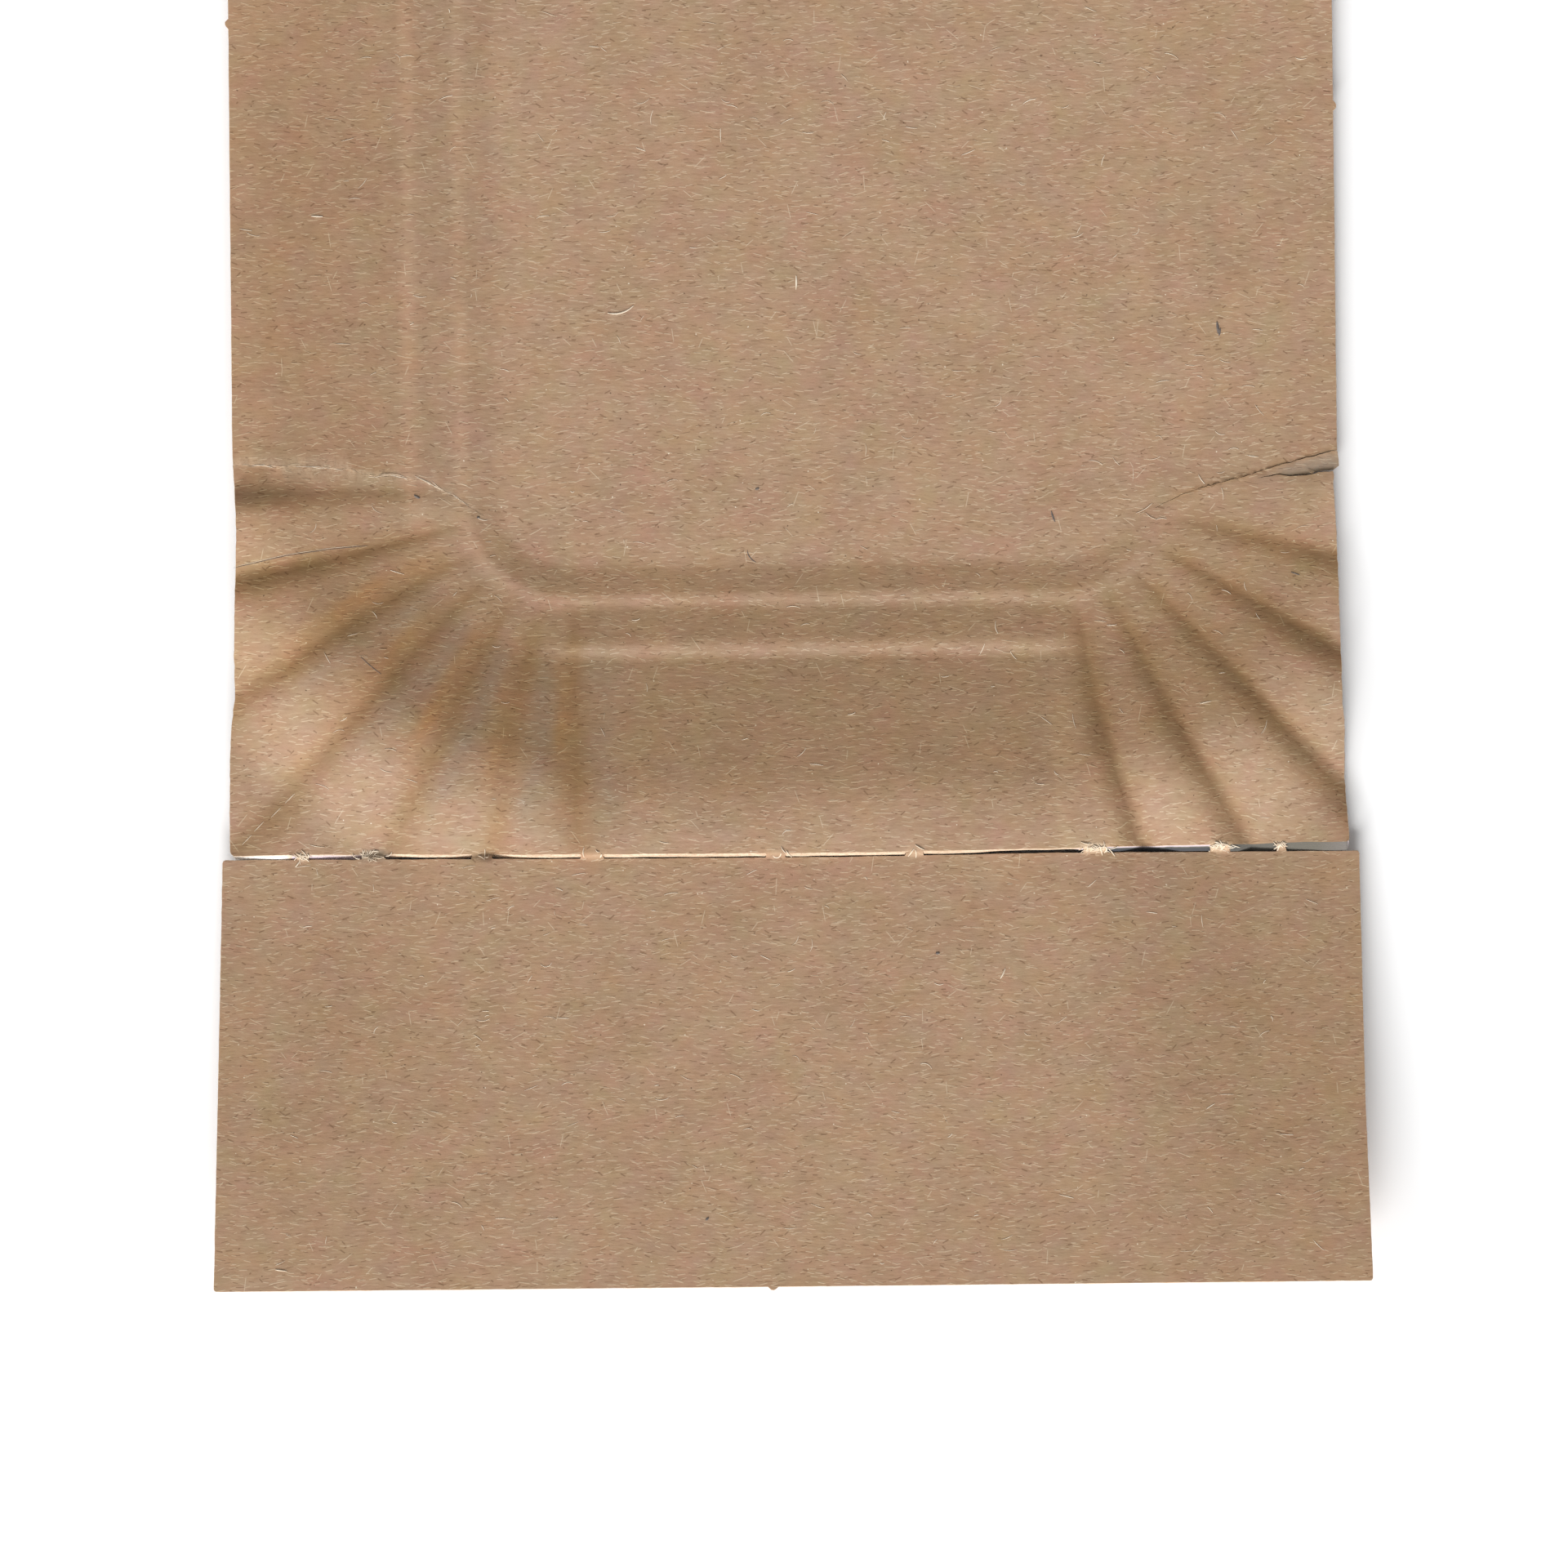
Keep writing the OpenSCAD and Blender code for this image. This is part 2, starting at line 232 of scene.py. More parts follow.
# Where its side edges bend slightly, and a small nub on its free edge
PANEL_LEFT_BEND, PANEL_RIGHT_BEND = (-46.9, -94.2), (42.56, -95.2)
PANEL_NUB = (-3.76, -109.02)

# How far the side edges beside the corners stray from a smooth line
EDGE_ROUGHNESS = 0.012

# Along the tear line: the tray's edge, the panel's edge, how far the cut face leans out below the tray's
# edge, and the painted light and shade on that face that stand for the lit or shadowed floor seen through
# the cut, where -1 is white and 0 is cream
END_LINE = [
    (-45.8, -75.04), (-42, -74.97), (-37, -75.0), (-31, -75.05), (-28, -75.1), (-21, -75.17),
    (-10, -75.23), (2, -75.28), (11, -75.2), (17, -75.15), (24, -75.04), (28, -75.0), (34, -74.98),
    (38, -74.87), (41.6, -74.87),
]
PANEL_LINE = [
    (-46.4, -75.37), (-42, -75.38), (-37, -75.41), (-28, -75.47), (-21, -75.52), (-10, -75.58),
    (2, -75.62), (11, -75.56), (17, -75.5), (24, -75.52), (34, -75.58), (42.4, -75.6),
]
CUT_LEAN = [
    (-46, 0.3), (-42, 0.38), (-40, 0.37), (-34.5, 0.36), (-32, 0.2), (-28, 0.26), (-21, 0.25),
    (2, 0.24), (11, 0.24), (15, 0.1), (20, 0.1), (22.7, 0.36), (28, 0.46), (33, 0.54), (41.6, 0.67),
]
CUT_PAINTED_TONE = [
    (-46, -1), (-41.6, -1), (-40.9, 0.3), (-35, 0.3), (-33, 0), (20, 0), (22.7, 1), (31, 0.95),
    (33, 0.72), (36.5, 0.62), (39, 0.6), (41.6, 0.57),
]

# Nicks along the tear line: x of the middle, breadth, and how torn it is
NICKS = [
    (-40.1, 0.95, 0.6), (-34.6, 1.9, 0.9), (-26.1, 1.7, 0.1), (-17.5, 1.9, 0.1), (-3.2, 1.6, 0.1),
    (7.6, 1.5, 0.1), (21.7, 1.9, 1.0), (31.5, 1.6, 0.9), (36.3, 0.8, 0.4),
]

LEFT_TEAR = [
    (-45.6, -44.52), (-41.7, -44.65), (-38.01, -44.82), (-35.97, -44.97), (-35.02, -45.3),
    (-34.07, -45.56), (-32.79, -45.45), (-31.52, -45.78), (-30.57, -45.8), (-28.35, -46.9),
    (-26.64, -48.07), (-25.69, -48.65),
]
RIGHT_TEAR = [
    (41.6, -44.15), (40.35, -44.43), (38.56, -44.86), (36.01, -45.53), (34.09, -46.15),
    (30.9, -46.94), (28.98, -47.55), (26.8, -48.61),
]
RIGHT_CRACK = [
    (41.6, -45.84), (41.1, -45.84), (39.51, -45.95), (38.55, -46.2), (37.27, -46.25),
    (36.51, -46.11), (34.79, -46.41),
]

# Folds in the left corner: a thin one, drawn as a dark strip of painted shade just below its line and a
# pale strip of painted highlight just above, and one whose skin is rubbed off near the sheet's corner
LEFT_FOLD = [(-45.2, -52.5), (-41.14, -51.6), (-37.95, -51.15), (-34.13, -50.8)]
RUBBED_FOLD = [(-44.9, -74.2), (-42.65, -71.97), (-40.0, -69.4)]


def resample(points, step):
    """Points at even steps along a polyline, its own corners kept."""
    out = []
    for a, b in zip(points[:-1], points[1:]):
        n = max(1, round(math.dist(a, b) / step))
        out += [(a[0] + (b[0] - a[0]) * k / n, a[1] + (b[1] - a[1]) * k / n) for k in range(n)]
    return out + [points[-1]]


def arc(cx, cy, radius, start, end, n=8):
    angles = np.radians(np.linspace(start, end, n))
    return [(cx + radius * math.cos(a), cy + radius * math.sin(a)) for a in angles]


def line_y(points, x):
    """y of a polyline that runs from side to side."""
    xs, ys = zip(*sorted(points))
    return np.interp(x, xs, ys)


def end_edge_y(x):
    """Tray's end edge, at the top of the cut."""
    return line_y(END_LINE, x) + 0.012 * np.sin(x * 0.9) + 0.01 * np.sin(x * 2.3 + 1)


def panel_edge_y(x):
    return line_y(PANEL_LINE, x) + 0.012 * np.sin(x * 1.3 + 2)


def slit(points, width, root_width=0.05, step=0.25):
    """A long thin hole along a polyline that starts at the sheet's edge."""
    path = np.array(resample(points, step))
    along = np.linspace(1, 0, len(path))
    tangent = np.gradient(path, axis=0)
    tangent /= np.linalg.norm(tangent, axis=1)[:, None]
    normal = np.stack([-tangent[:, 1], tangent[:, 0]], 1)
    rough = rng.normal(0, 0.02, len(path))
    path = path + normal * rough[:, None]
    half = (root_width + (width - root_width) * along)[:, None] / 2
    half = half * (1 + 0.25 * rng.normal(0, 1, len(path))[:, None].clip(-1, 1))
    return path + normal * half, path - normal * half


def nub(x, y, out_x, out_y, size=0.42, reach=0.26):
    """A small bump on an edge: points going along the edge, with the outside at (out_x, out_y)."""
    along = (-out_y, out_x)
    shape = [(-1, 0), (-0.7, 0.45), (-0.35, 0.95), (0.1, 1), (0.5, 0.7), (0.75, 0.3), (1, 0)]
    return [
        (x + along[0] * a * size + out_x * b * reach, y + along[1] * a * size + out_y * b * reach)
        for a, b in shape
    ]


def run(edge_y, start, stop):
    """Points along one edge of the cut, between two values of x."""
    xs = np.linspace(start, stop, max(2, round(abs(stop - start) / 0.3)))
    return [(float(x), float(edge_y(x))) for x in xs]


def nick_side(x, upward, bulge):
    """Concave end of a slot, from the tray's edge down to the panel or back up."""
    top, low = float(end_edge_y(x)), float(panel_edge_y(x))
    points = []
    for t in np.linspace(0, 1, 5)[1:-1]:
        bow = bulge * (0.10 * math.sin(math.pi * t))
        points.append((x + bow + rng.normal(0, 0.03), top + (low - top) * t))
    return points[::-1] if upward else points


def slot_loops(nick_sides):
    """The cut between each two neighbouring nicks."""
    loops = []
    for (_, left), (right, _) in zip(nick_sides[:-1], nick_sides[1:]):
        loop = run(end_edge_y, left, right)
        loop += nick_side(right, False, 1)
        loop += run(panel_edge_y, right, left)
        loop += nick_side(left, True, -1)
        loops.append(loop[::-1])
    return loops


def side_x(edge, y):
    """x of a side edge at a place along the tray."""
    ys, xs = zip(*edge)
    return float(np.interp(-y, [-value for value in ys], xs))


def near_first(one, other):
    """Both lips of a tear, the one nearer the panel first."""
    return (one, other) if one[3][1] < other[3][1] else (other, one)


def tear_loop(one, other, edge_x):
    """Into the sheet along one lip and back along the other, clipped at the sheet's edge."""
    side = 1 if edge_x > 0 else -1
    there = [tuple(p) for p in one if p[0] * side < edge_x * side]
    back = [tuple(p) for p in other if p[0] * side < edge_x * side]
    return [(edge_x, there[0][1])] + there, back[::-1] + [(edge_x, back[0][1])]


def panel_outline(start, stop):
    """Round the panel, from x = start at the left of its cut edge to x = stop at the right."""
    near_left, near_right, free_right, free_left = PANEL
    r = PANEL_CORNER_R
    left_side = [(near_left[0], near_left[1] - 0.5), PANEL_LEFT_BEND, (free_left[0], free_left[1] + 0.4)]
    right_side = [(free_right[0], free_right[1] + 0.5), PANEL_RIGHT_BEND]
    right_side += [(near_right[0], near_right[1] - 0.5)]
    nub_x, nub_y = PANEL_NUB
    line = run(panel_edge_y, start, near_left[0] + 0.25)
    line += arc(near_left[0] + r, near_left[1] - r, r, 90, 180, 4)
    line += resample(left_side, 0.6)
    line += arc(free_left[0] + r, free_left[1] + r, r, 180, 270, 4)
    line += resample([(free_left[0] + 0.5, free_left[1]), (-4.4, nub_y)], 0.6)
    line += nub(nub_x, nub_y, 0, -1)
    line += resample([(-3.1, nub_y), (free_right[0] - 0.5, free_right[1])], 0.6)
    line += arc(free_right[0] - r, free_right[1] + r, r, 270, 360, 4)
    line += resample(right_side, 0.6)
    line += arc(near_right[0] - r, near_right[1] - r, r, 0, 90, 4)
    return line + run(panel_edge_y, near_right[0] - 0.4, stop)


def plan():
    """Outer loop of the whole sheet, and its holes, as lists of points."""
    nick_sides = [(x - width / 2, x + width / 2) for x, width, _ in NICKS]
    first_nick, last_nick = nick_sides[0][0], nick_sides[-1][1]
    slots = slot_loops(nick_sides)
    left_near, left_far = near_first(*slit(LEFT_TEAR, 0.03, 0.025))
    right_near, right_far = near_first(*slit(RIGHT_TEAR, 0.055, 0.03))
    crack_near, crack_far = near_first(*slit(RIGHT_CRACK, 0.15, 0.04))
    left_x, right_x = SIDE_X

    # Down the left side, in and out along its tear, to the corner at the cut
    outer = resample([(left_x, END_Y - FAR_R), (left_x, -9.6)], 1.2)[:-1]
    outer += nub(left_x, -10.15, -1, 0)
    go, back = tear_loop(left_far, left_near, side_x(LEFT_EDGE, -44.5))
    outer += resample([(left_x, -10.8), (side_x(LEFT_EDGE, -43.0), -43.0), go[0]], 0.8)[:-1]
    outer += go + back
    ys = np.linspace(back[-1][1] - 0.4, -74.2, 70)
    outer += [(side_x(LEFT_EDGE, y) + rng.normal(0, EDGE_ROUGHNESS), float(y)) for y in ys]
    corner_x = side_x(LEFT_EDGE, -74.4)
    outer += arc(corner_x + 0.45, float(end_edge_y(-45)) + 0.45, 0.45, 180, 270, 6)
    outer += run(end_edge_y, corner_x + 0.6, first_nick)

    # Down beside the first nick, round the panel, and up beside the last nick
    outer += nick_side(first_nick, False, 1)
    outer += panel_outline(first_nick, last_nick)
    outer += nick_side(last_nick, True, -1)
    corner_x = side_x(RIGHT_EDGE, -74.6)
    outer += run(end_edge_y, last_nick, corner_x - 0.35)
    outer += arc(corner_x - 0.25, float(end_edge_y(41)) + 0.25, 0.25, 270, 360, 4)

    # Up the right side: the crack, then the tear
    go, back = tear_loop(crack_near, crack_far, side_x(RIGHT_EDGE, -46.6))
    ys = np.linspace(-74.2, go[0][1] - 0.4, 70)
    outer += [(side_x(RIGHT_EDGE, y) + rng.normal(0, EDGE_ROUGHNESS), float(y)) for y in ys]
    outer += go + back
    outer += [(41.12, -45.5), (41.1, -45.0)]
    go, back = tear_loop(right_near, right_far, 41.0)
    outer += go + back
    outer += resample([(40.97, -43.6), (right_x, -18.0)], 0.8)[:-1]
    outer += nub(right_x, -17.37, 1, 0)

    # The far end with its two round corners
    outer += resample([(right_x, -16.8), (right_x, END_Y - FAR_R)], 1.2)
    outer += arc(right_x - FAR_R, END_Y - FAR_R, FAR_R, 0, 90, 16)[1:]
    outer += resample([(right_x - FAR_R - 0.6, END_Y), (left_x + FAR_R + 0.6, END_Y)], 0.8)
    outer += arc(left_x + FAR_R, END_Y - FAR_R, FAR_R, 90, 180, 16)[:-1]
    return outer, slots


def inner_points():
    """Points over the sheet that follow its folds: rings, rays along the pleats, and a plain grid."""
    pts = []
    rings = list(np.arange(3.5, 13.2, 0.4)) + list(np.arange(13.5, 39, 0.75))
    fine = np.linspace(0, PLEATS, PLEATS * 14 + 1)
    coarse = np.linspace(0, PLEATS, PLEATS * 8 + 1)
    for sx, valleys in ((-1, LEFT_VALLEYS), (1, RIGHT_VALLEYS)):
        for sy in (-1, 1):
            for r in rings:
                turn = float(turned(r))
                lines = np.array(valleys[0]) * (1 - turn) + np.array(valleys[1]) * turn
                steps = fine if r > 9 and sy < 0 else coarse
                angles = np.radians(np.interp(steps, range(PLEATS + 1), lines))
                xs = sx * (CORE_X + r * np.cos(angles))
                pts.append(np.stack([xs, sy * (CORE_Y + r * np.sin(angles))], 1))
    for r in rings:
        ys = np.linspace(-CORE_Y + 0.9, CORE_Y - 0.9, 64)
        for side in (-1, 1):
            pts.append(np.stack([np.full_like(ys, side * (CORE_X + r)), ys], 1))
            xs = np.linspace(-CORE_X + 0.5, CORE_X - 0.5, 30)
            pts.append(np.stack([xs, np.full_like(xs, side * (CORE_Y + r))], 1))
    gx, gy = np.meshgrid(np.arange(-22, 22.1, 1.5), np.arange(-50, 50.1, 1.5))
    pts.append(np.stack([gx.ravel(), gy.ravel()], 1))
    gx, gy = np.meshgrid(np.arange(-46.6, 42.8, 1.3), np.arange(-108.4, -75.9, 1.3))
    pts.append(np.stack([gx.ravel(), gy.ravel()], 1))
    for y in (-75.6, -75.9, -76.4):
        xs = np.arange(-46, 42, 0.45)
        pts.append(np.stack([xs, np.full_like(xs, y)], 1))
    for x, width, _ in NICKS:
        gx, gy = np.meshgrid(np.arange(x - width, x + width, 0.18), np.arange(-75.8, -74.0, 0.16))
        pts.append(np.stack([gx.ravel(), gy.ravel()], 1))
    pts = np.concatenate(pts)
    on_tray = pts[:, 1] > -74.8
    on_panel = pts[:, 1] < -75.5
    in_row = np.abs(pts[:, 1] - NICK_Y) < 0.35
    near_nick = np.zeros(len(pts), bool)
    for x, width, _ in NICKS:
        near_nick |= np.abs(pts[:, 0] - x) < width / 2 - 0.06
    return pts[on_tray | on_panel | (in_row & near_nick)]


def thin_out(pts, fixed, gap_fixed=0.16, cell=0.14):
    """Drops points that lie too near a fixed point or each other."""
    tree = kdtree.KDTree(len(fixed))
    for i, p in enumerate(fixed):
        tree.insert((p[0], p[1], 0), i)
    tree.balance()
    keys = np.round(pts / cell).astype(int)
    _, first = np.unique(keys[:, 0] * 100003 + keys[:, 1], return_index=True)
    pts = pts[np.sort(first)]
    far = [tree.find((p[0], p[1], 0))[2] > gap_fixed for p in pts]
    return pts[np.array(far)]


# The sheet's mesh

def side_of(points, x, y):
    """How far a point lies beyond a tear (+) or on the panel's side of it (-)."""
    return y - line_y(points, x)


def lips(x, y):
    """Heights added beside the tears, where one lip has sprung up and the other sunk."""
    z = 0 * x
    d = side_of(LEFT_TEAR, x, y)
    reach = smooth(-24.5, -31, x)
    z = z + 0.06 * reach * (d > 0) * np.exp(-np.abs(d) / 0.9)
    z = z - 0.04 * reach * (d <= 0) * np.exp(-np.abs(d) / 0.6)
    d = side_of(RIGHT_TEAR, x, y)
    reach = smooth(26, 32, x)
    z = z - 0.03 * reach * (d > 0) * np.exp(-np.abs(d) / 0.8)
    z = z + 0.07 * reach * (d <= 0) * np.exp(-np.abs(d) / 1.6)
    crack = side_of(RIGHT_CRACK, x, y)
    sliver = (d <= 0) & (crack > 0) & (x > 34.8)
    sink = smooth(34.8, 40.5, x) * np.clip(d / np.minimum(d - crack, -0.05), 0, 1)
    z = z - 0.25 * np.where(sliver, sink, 0)
    return z


def panel_z(x, y):
    """Height of the panel's underside, which slopes up to its free edge."""
    rise = np.maximum(0, PANEL_Y - y) * PANEL_SLOPE
    sunk = np.where(x < 0, LEFT_SINK, RIGHT_SINK) * smooth(20, 35, np.abs(x))
    edge = RIM_Z - PANEL_DROP - sunk * smooth(PANEL_FREE_Y, -END_Y, y)
    return edge + rise + PANEL_WAVE * waves(x, y, 7, (61, 44, 33)) * smooth(-76, -84, y)


def under_z(x, y):
    """Height of the sheet's underside everywhere."""
    tray_y = np.maximum(y, TRAY_LIMIT_Y)
    tray = tray_z(x, tray_y) + lips(x, y)
    r, _ = polar(x, tray_y)
    tray = tray + SLOW_WAVE * waves(x, y, 3, (37, 23, 52)) * smooth(FOOT_2_R, 20, r)
    tray = tray + FINE_WAVE * waves(x, y, 5, (9, 6.5, 13)) * smooth(FOOT_2_R, 18, r)
    edge, panel = line_y(END_LINE, x), line_y(PANEL_LINE, x)
    on_panel = smooth(edge + 0.03, panel - 0.03, y)
    return np.maximum(tray, 0) * (1 - on_panel) + panel_z(x, y) * on_panel


def torn(x, y):
    """Where the surface shows torn cream fibre instead of its brown skin, 0 to 1."""
    w = 0 * x
    for nx, width, amount in NICKS:
        d = np.hypot((x - nx) / (0.62 * width), (y - NICK_Y) / 0.42)
        w = np.maximum(w, amount * (1 - smooth(0.6, 1.15, d)))
    d = side_of(LEFT_TEAR, x, y)
    along = 0.15 + 0.25 * smooth(-29, -36, x)
    w = np.maximum(w, along * smooth(-25.5, -29, x) * np.exp(-np.abs(d) / 0.08))
    return w


def beside_valleys(x, y, side, first, last):
    """For each chosen pleat valley of one side: distance across it, with its sign, in millimetres."""
    out_x, out_y = np.abs(x) - CORE_X, -y - CORE_Y
    r, angle = np.hypot(out_x, out_y), np.arctan2(out_y, out_x)
    turn = turned(r)
    low, high = LEFT_VALLEYS if side < 0 else RIGHT_VALLEYS
    for k in range(first, last + 1):
        from_line = angle - np.radians(low[k] + (high[k] - low[k]) * turn)
        here = (x * side > 0) & (np.cos(from_line) > 0)
        yield np.where(here, r * np.sin(from_line), 99), r


def painted_crease_shade(x, y):
    """How much painted shade darkens the pleats' valley lines, 0 to 1: the shade that falls in the creases,
    spread wider on the rising side that faces away from the light.
    """
    dark = 0 * x
    for side, last in ((-1, PLEATS), (1, PLEATS - 1)):
        for away, r in beside_valleys(x, y, side, 1, last):
            spread = 0.06 if side < 0 else 0.085
            near = np.exp(-(away / np.where(away > 0, spread * r, 0.9)) ** 2)
            dark = np.maximum(dark, near * smooth(8.5, 11.5, r) * (1 - 0.5 * smooth(26, 33, r)))
    return dark * smooth(PANEL_Y, -END_Y, y)


def light_fringe(x, y):
    """Painted light: orange (+) and bluish (-) fringes of the lighting along the left corner's pleats, on
    either side of each valley, not the board's own colour.
    """
    painted_tone = 0 * x
    for away, r in beside_valleys(x, y, -1, 2, PLEATS):
        uneven = smooth(9.5, 14, r) * (0.75 + 0.25 * np.sin(r * 0.9 + 2 * x))
        warm = (1 - smooth(20, 27, r)) * np.exp(-((away + 1.2) / 0.8) ** 2)
        cool = (1 - smooth(23, 30, r)) * np.exp(-((away - 2.0) / 1.1) ** 2)
        painted_tone = painted_tone + uneven * (warm - 0.8 * cool)
    return painted_tone * smooth(PANEL_Y, -END_Y, y)


def ply_grey_and_shade(x, y):
    """Where the sliver between the right tear and crack is greyed, most toward its curled-down lip, and the
    board just below the crack: painted shade over the bared ply's own greyish tone; with a dark spot at one
    nick, 0 to 1.
    """
    d = side_of(RIGHT_TEAR, x, y)
    crack = side_of(RIGHT_CRACK, x, y)
    sliver = (d <= 0) & (crack > 0) & (x > 34.8)
    share = np.clip(d / np.minimum(d - crack, -0.05), 0, 1)
    w = np.where(sliver, smooth(34.5, 37.5, x) * (0.4 + 0.55 * share), 0)
    below = crack <= 0
    w = np.maximum(w, 0.30 * below * smooth(33, 36, x) * np.exp(crack / 0.8))
    dark = np.hypot((x + 34.3) / 1.3, (y + 74.9) / 0.3)
    return np.maximum(w, 0.75 * (1 - smooth(0.5, 1.2, dark)))


def triangulate():
    """The sheet seen from above: its points and its triangles."""
    outer, slots = plan()
    loops = [outer] + slots
    fixed = [p for loop in loops for p in loop]
    faces, start = [], 0
    for loop in loops:
        faces.append(list(range(start, start + len(loop))))
        start += len(loop)
    free = thin_out(inner_points(), fixed)
    coords = [Vector((float(x), float(y))) for x, y in fixed]
    coords += [Vector((float(x), float(y))) for x, y in free]
    verts, _, tris, _, _, from_faces = delaunay_2d_cdt(coords, [], faces, 1, 1e-5, True)
    # What lies in a slot belongs to a second loop too, and is left out
    tris = np.array([t for t, f in zip(tris, from_faces) if f and max(f) == 0 and len(t) == 3])
    xy = np.array([(v[0], v[1]) for v in verts])
    a, b, c = (xy[tris[:, k]] for k in range(3))
    area = (b[:, 0] - a[:, 0]) * (c[:, 1] - a[:, 1]) - (b[:, 1] - a[:, 1]) * (c[:, 0] - a[:, 0])
    tris[area < 0] = tris[area < 0][:, ::-1]
    tris = tris[np.abs(area) > 1e-7]
    used = np.unique(tris)
    renumber = np.full(len(xy), -1)
    renumber[used] = np.arange(len(used))
    return xy[used], renumber[tris]


def rim_of(xy, tris):
    """The sheet's edge: its segments, its points, and the outward direction at each point."""
    edges = np.concatenate([tris[:, [0, 1]], tris[:, [1, 2]], tris[:, [2, 0]]])
    key = edges[:, 0].astype(np.int64) * len(xy) + edges[:, 1]
    back = edges[:, 1].astype(np.int64) * len(xy) + edges[:, 0]
    # Only a segment of the edge has a triangle on one side alone
    rim = edges[~np.isin(key, back)]
    rim_verts = np.unique(rim)
    out = np.zeros((len(xy), 2))
    step = xy[rim[:, 1]] - xy[rim[:, 0]]
    normal = np.stack([step[:, 1], -step[:, 0]], 1)
    np.add.at(out, rim[:, 0], normal)
    np.add.at(out, rim[:, 1], normal)
    out[rim_verts] /= np.maximum(np.linalg.norm(out[rim_verts], axis=1), 1e-9)[:, None]
    return rim, rim_verts, out


def filled_mesh(name, points, tris, quads):
    """A smooth mesh, its triangles in the first material and its quads in the second."""
    mesh = bpy.data.meshes.new(name)
    corners = np.concatenate([tris.ravel(), quads.ravel()])
    starts = np.concatenate([np.arange(len(tris)) * 3, 3 * len(tris) + np.arange(len(quads)) * 4])
    material = np.arange(len(starts)) >= len(tris)
    mesh.vertices.add(len(points))
    mesh.vertices.foreach_set("co", points.astype(np.float32).ravel())
    mesh.loops.add(len(corners))
    mesh.loops.foreach_set("vertex_index", corners.astype(np.int32))
    mesh.polygons.add(len(starts))
    mesh.polygons.foreach_set("loop_start", starts.astype(np.int32))
    mesh.polygons.foreach_set("material_index", material.astype(np.int32))
    mesh.polygons.foreach_set("use_smooth", np.ones(len(starts), bool))
    mesh.update(calc_edges=True)
    return mesh


def sharpen(mesh, n, rim):
    """Keeps the sheet's upper and lower edge sharp."""
    pairs = np.zeros(len(mesh.edges) * 2, np.int32)
    mesh.edges.foreach_get("vertices", pairs)
    pairs = pairs.reshape(-1, 2)
    same_face = (pairs < n).all(1) | ((pairs >= n) & (pairs < 2 * n)).all(1)
    rim_keys = set(map(tuple, np.sort(rim, 1))) | set(map(tuple, np.sort(rim + n, 1)))
    sharp = np.array([s and tuple(e) in rim_keys for s, e in zip(same_face, np.sort(pairs, 1))])
    layer = mesh.attributes.new("sharp_edge", "BOOLEAN", "EDGE")
    layer.data.foreach_set("value", sharp)


def store(mesh, name, *parts):
    """One value for each point of the mesh: its food side, its underside, then its cut edge."""
    layer = mesh.attributes.new(name, "FLOAT", "POINT")
    layer.data.foreach_set("value", np.concatenate(parts).astype(np.float32))


def paint(mesh, x, y, rim_verts, on_end):
    """Where the board is torn, where its ply is grey, where painted shade and light fall (greyed sliver,
    darker pleat valleys, tints by slope, fringes along the left pleats), and the painted light and shade on
    its cut face.
    """
    # Painted shade and light: slopes rising toward the end face away from the key light and get a warmer
    # tint, slopes facing it a cooler one
    toward_end = (under_z(x, y - 0.1) - under_z(x, y + 0.1)) / 0.2
    slope_shade_tint = np.clip(toward_end / 0.25, -1, 1) * (np.abs(y - CUT_Y) > 0.5)
    looks = {"torn": torn(x, y), "ply_grey_and_shade": ply_grey_and_shade(x, y), "painted_crease_shade": painted_crease_shade(x, y), "light_fringe": light_fringe(x, y)}
    looks["slope_shade_tint"] = slope_shade_tint
    for name, values in looks.items():
        store(mesh, name, values, 0 * values, values[rim_verts])
    # Painted shade and light on the cut face, for the floor seen through the cut
    painted_tone = line_y(CUT_PAINTED_TONE, x) * on_end
    store(mesh, "painted_tone", painted_tone * smooth(30.5, 32.5, x), painted_tone, painted_tone[rim_verts])


def build_sheet():
    xy, tris = triangulate()
    rim, rim_verts, out = rim_of(xy, tris)
    n = len(xy)
    x, y = xy[:, 0], xy[:, 1]
    z = under_z(x, y)
    top = np.stack([x, y, z + BOARD_T], 1)
    low = np.stack([x, y, z], 1)
    on_end = (out[:, 1] < -0.5) & (np.abs(y - end_edge_y(x)) < 0.05)
    low[:, 1] -= np.where(on_end, line_y(CUT_LEAN, x), 0)
    middle = (top + low)[rim_verts] / 2
    middle[:, :2] += out[rim_verts] * (0.03 + rng.normal(0, 0.012, (len(rim_verts), 1)))
    place = np.full(n, -1)
    place[rim_verts] = 2 * n + np.arange(len(rim_verts))
    p, q = rim[:, 0], rim[:, 1]
    upper_half = np.stack([q, p, place[p], place[q]], 1)
    lower_half = np.stack([place[q], place[p], p + n, q + n], 1)
    points = np.concatenate([top, low, middle]) * MM
    both_sides = np.concatenate([tris, tris[:, ::-1] + n])
    mesh = filled_mesh("board", points, both_sides, np.concatenate([upper_half, lower_half]))
    sharpen(mesh, n, rim)
    paint(mesh, x, y, rim_verts, on_end)
    mesh.validate()
    return linked("board", mesh)


# Loose fibres and marks, with the painted shade and highlight of one fold

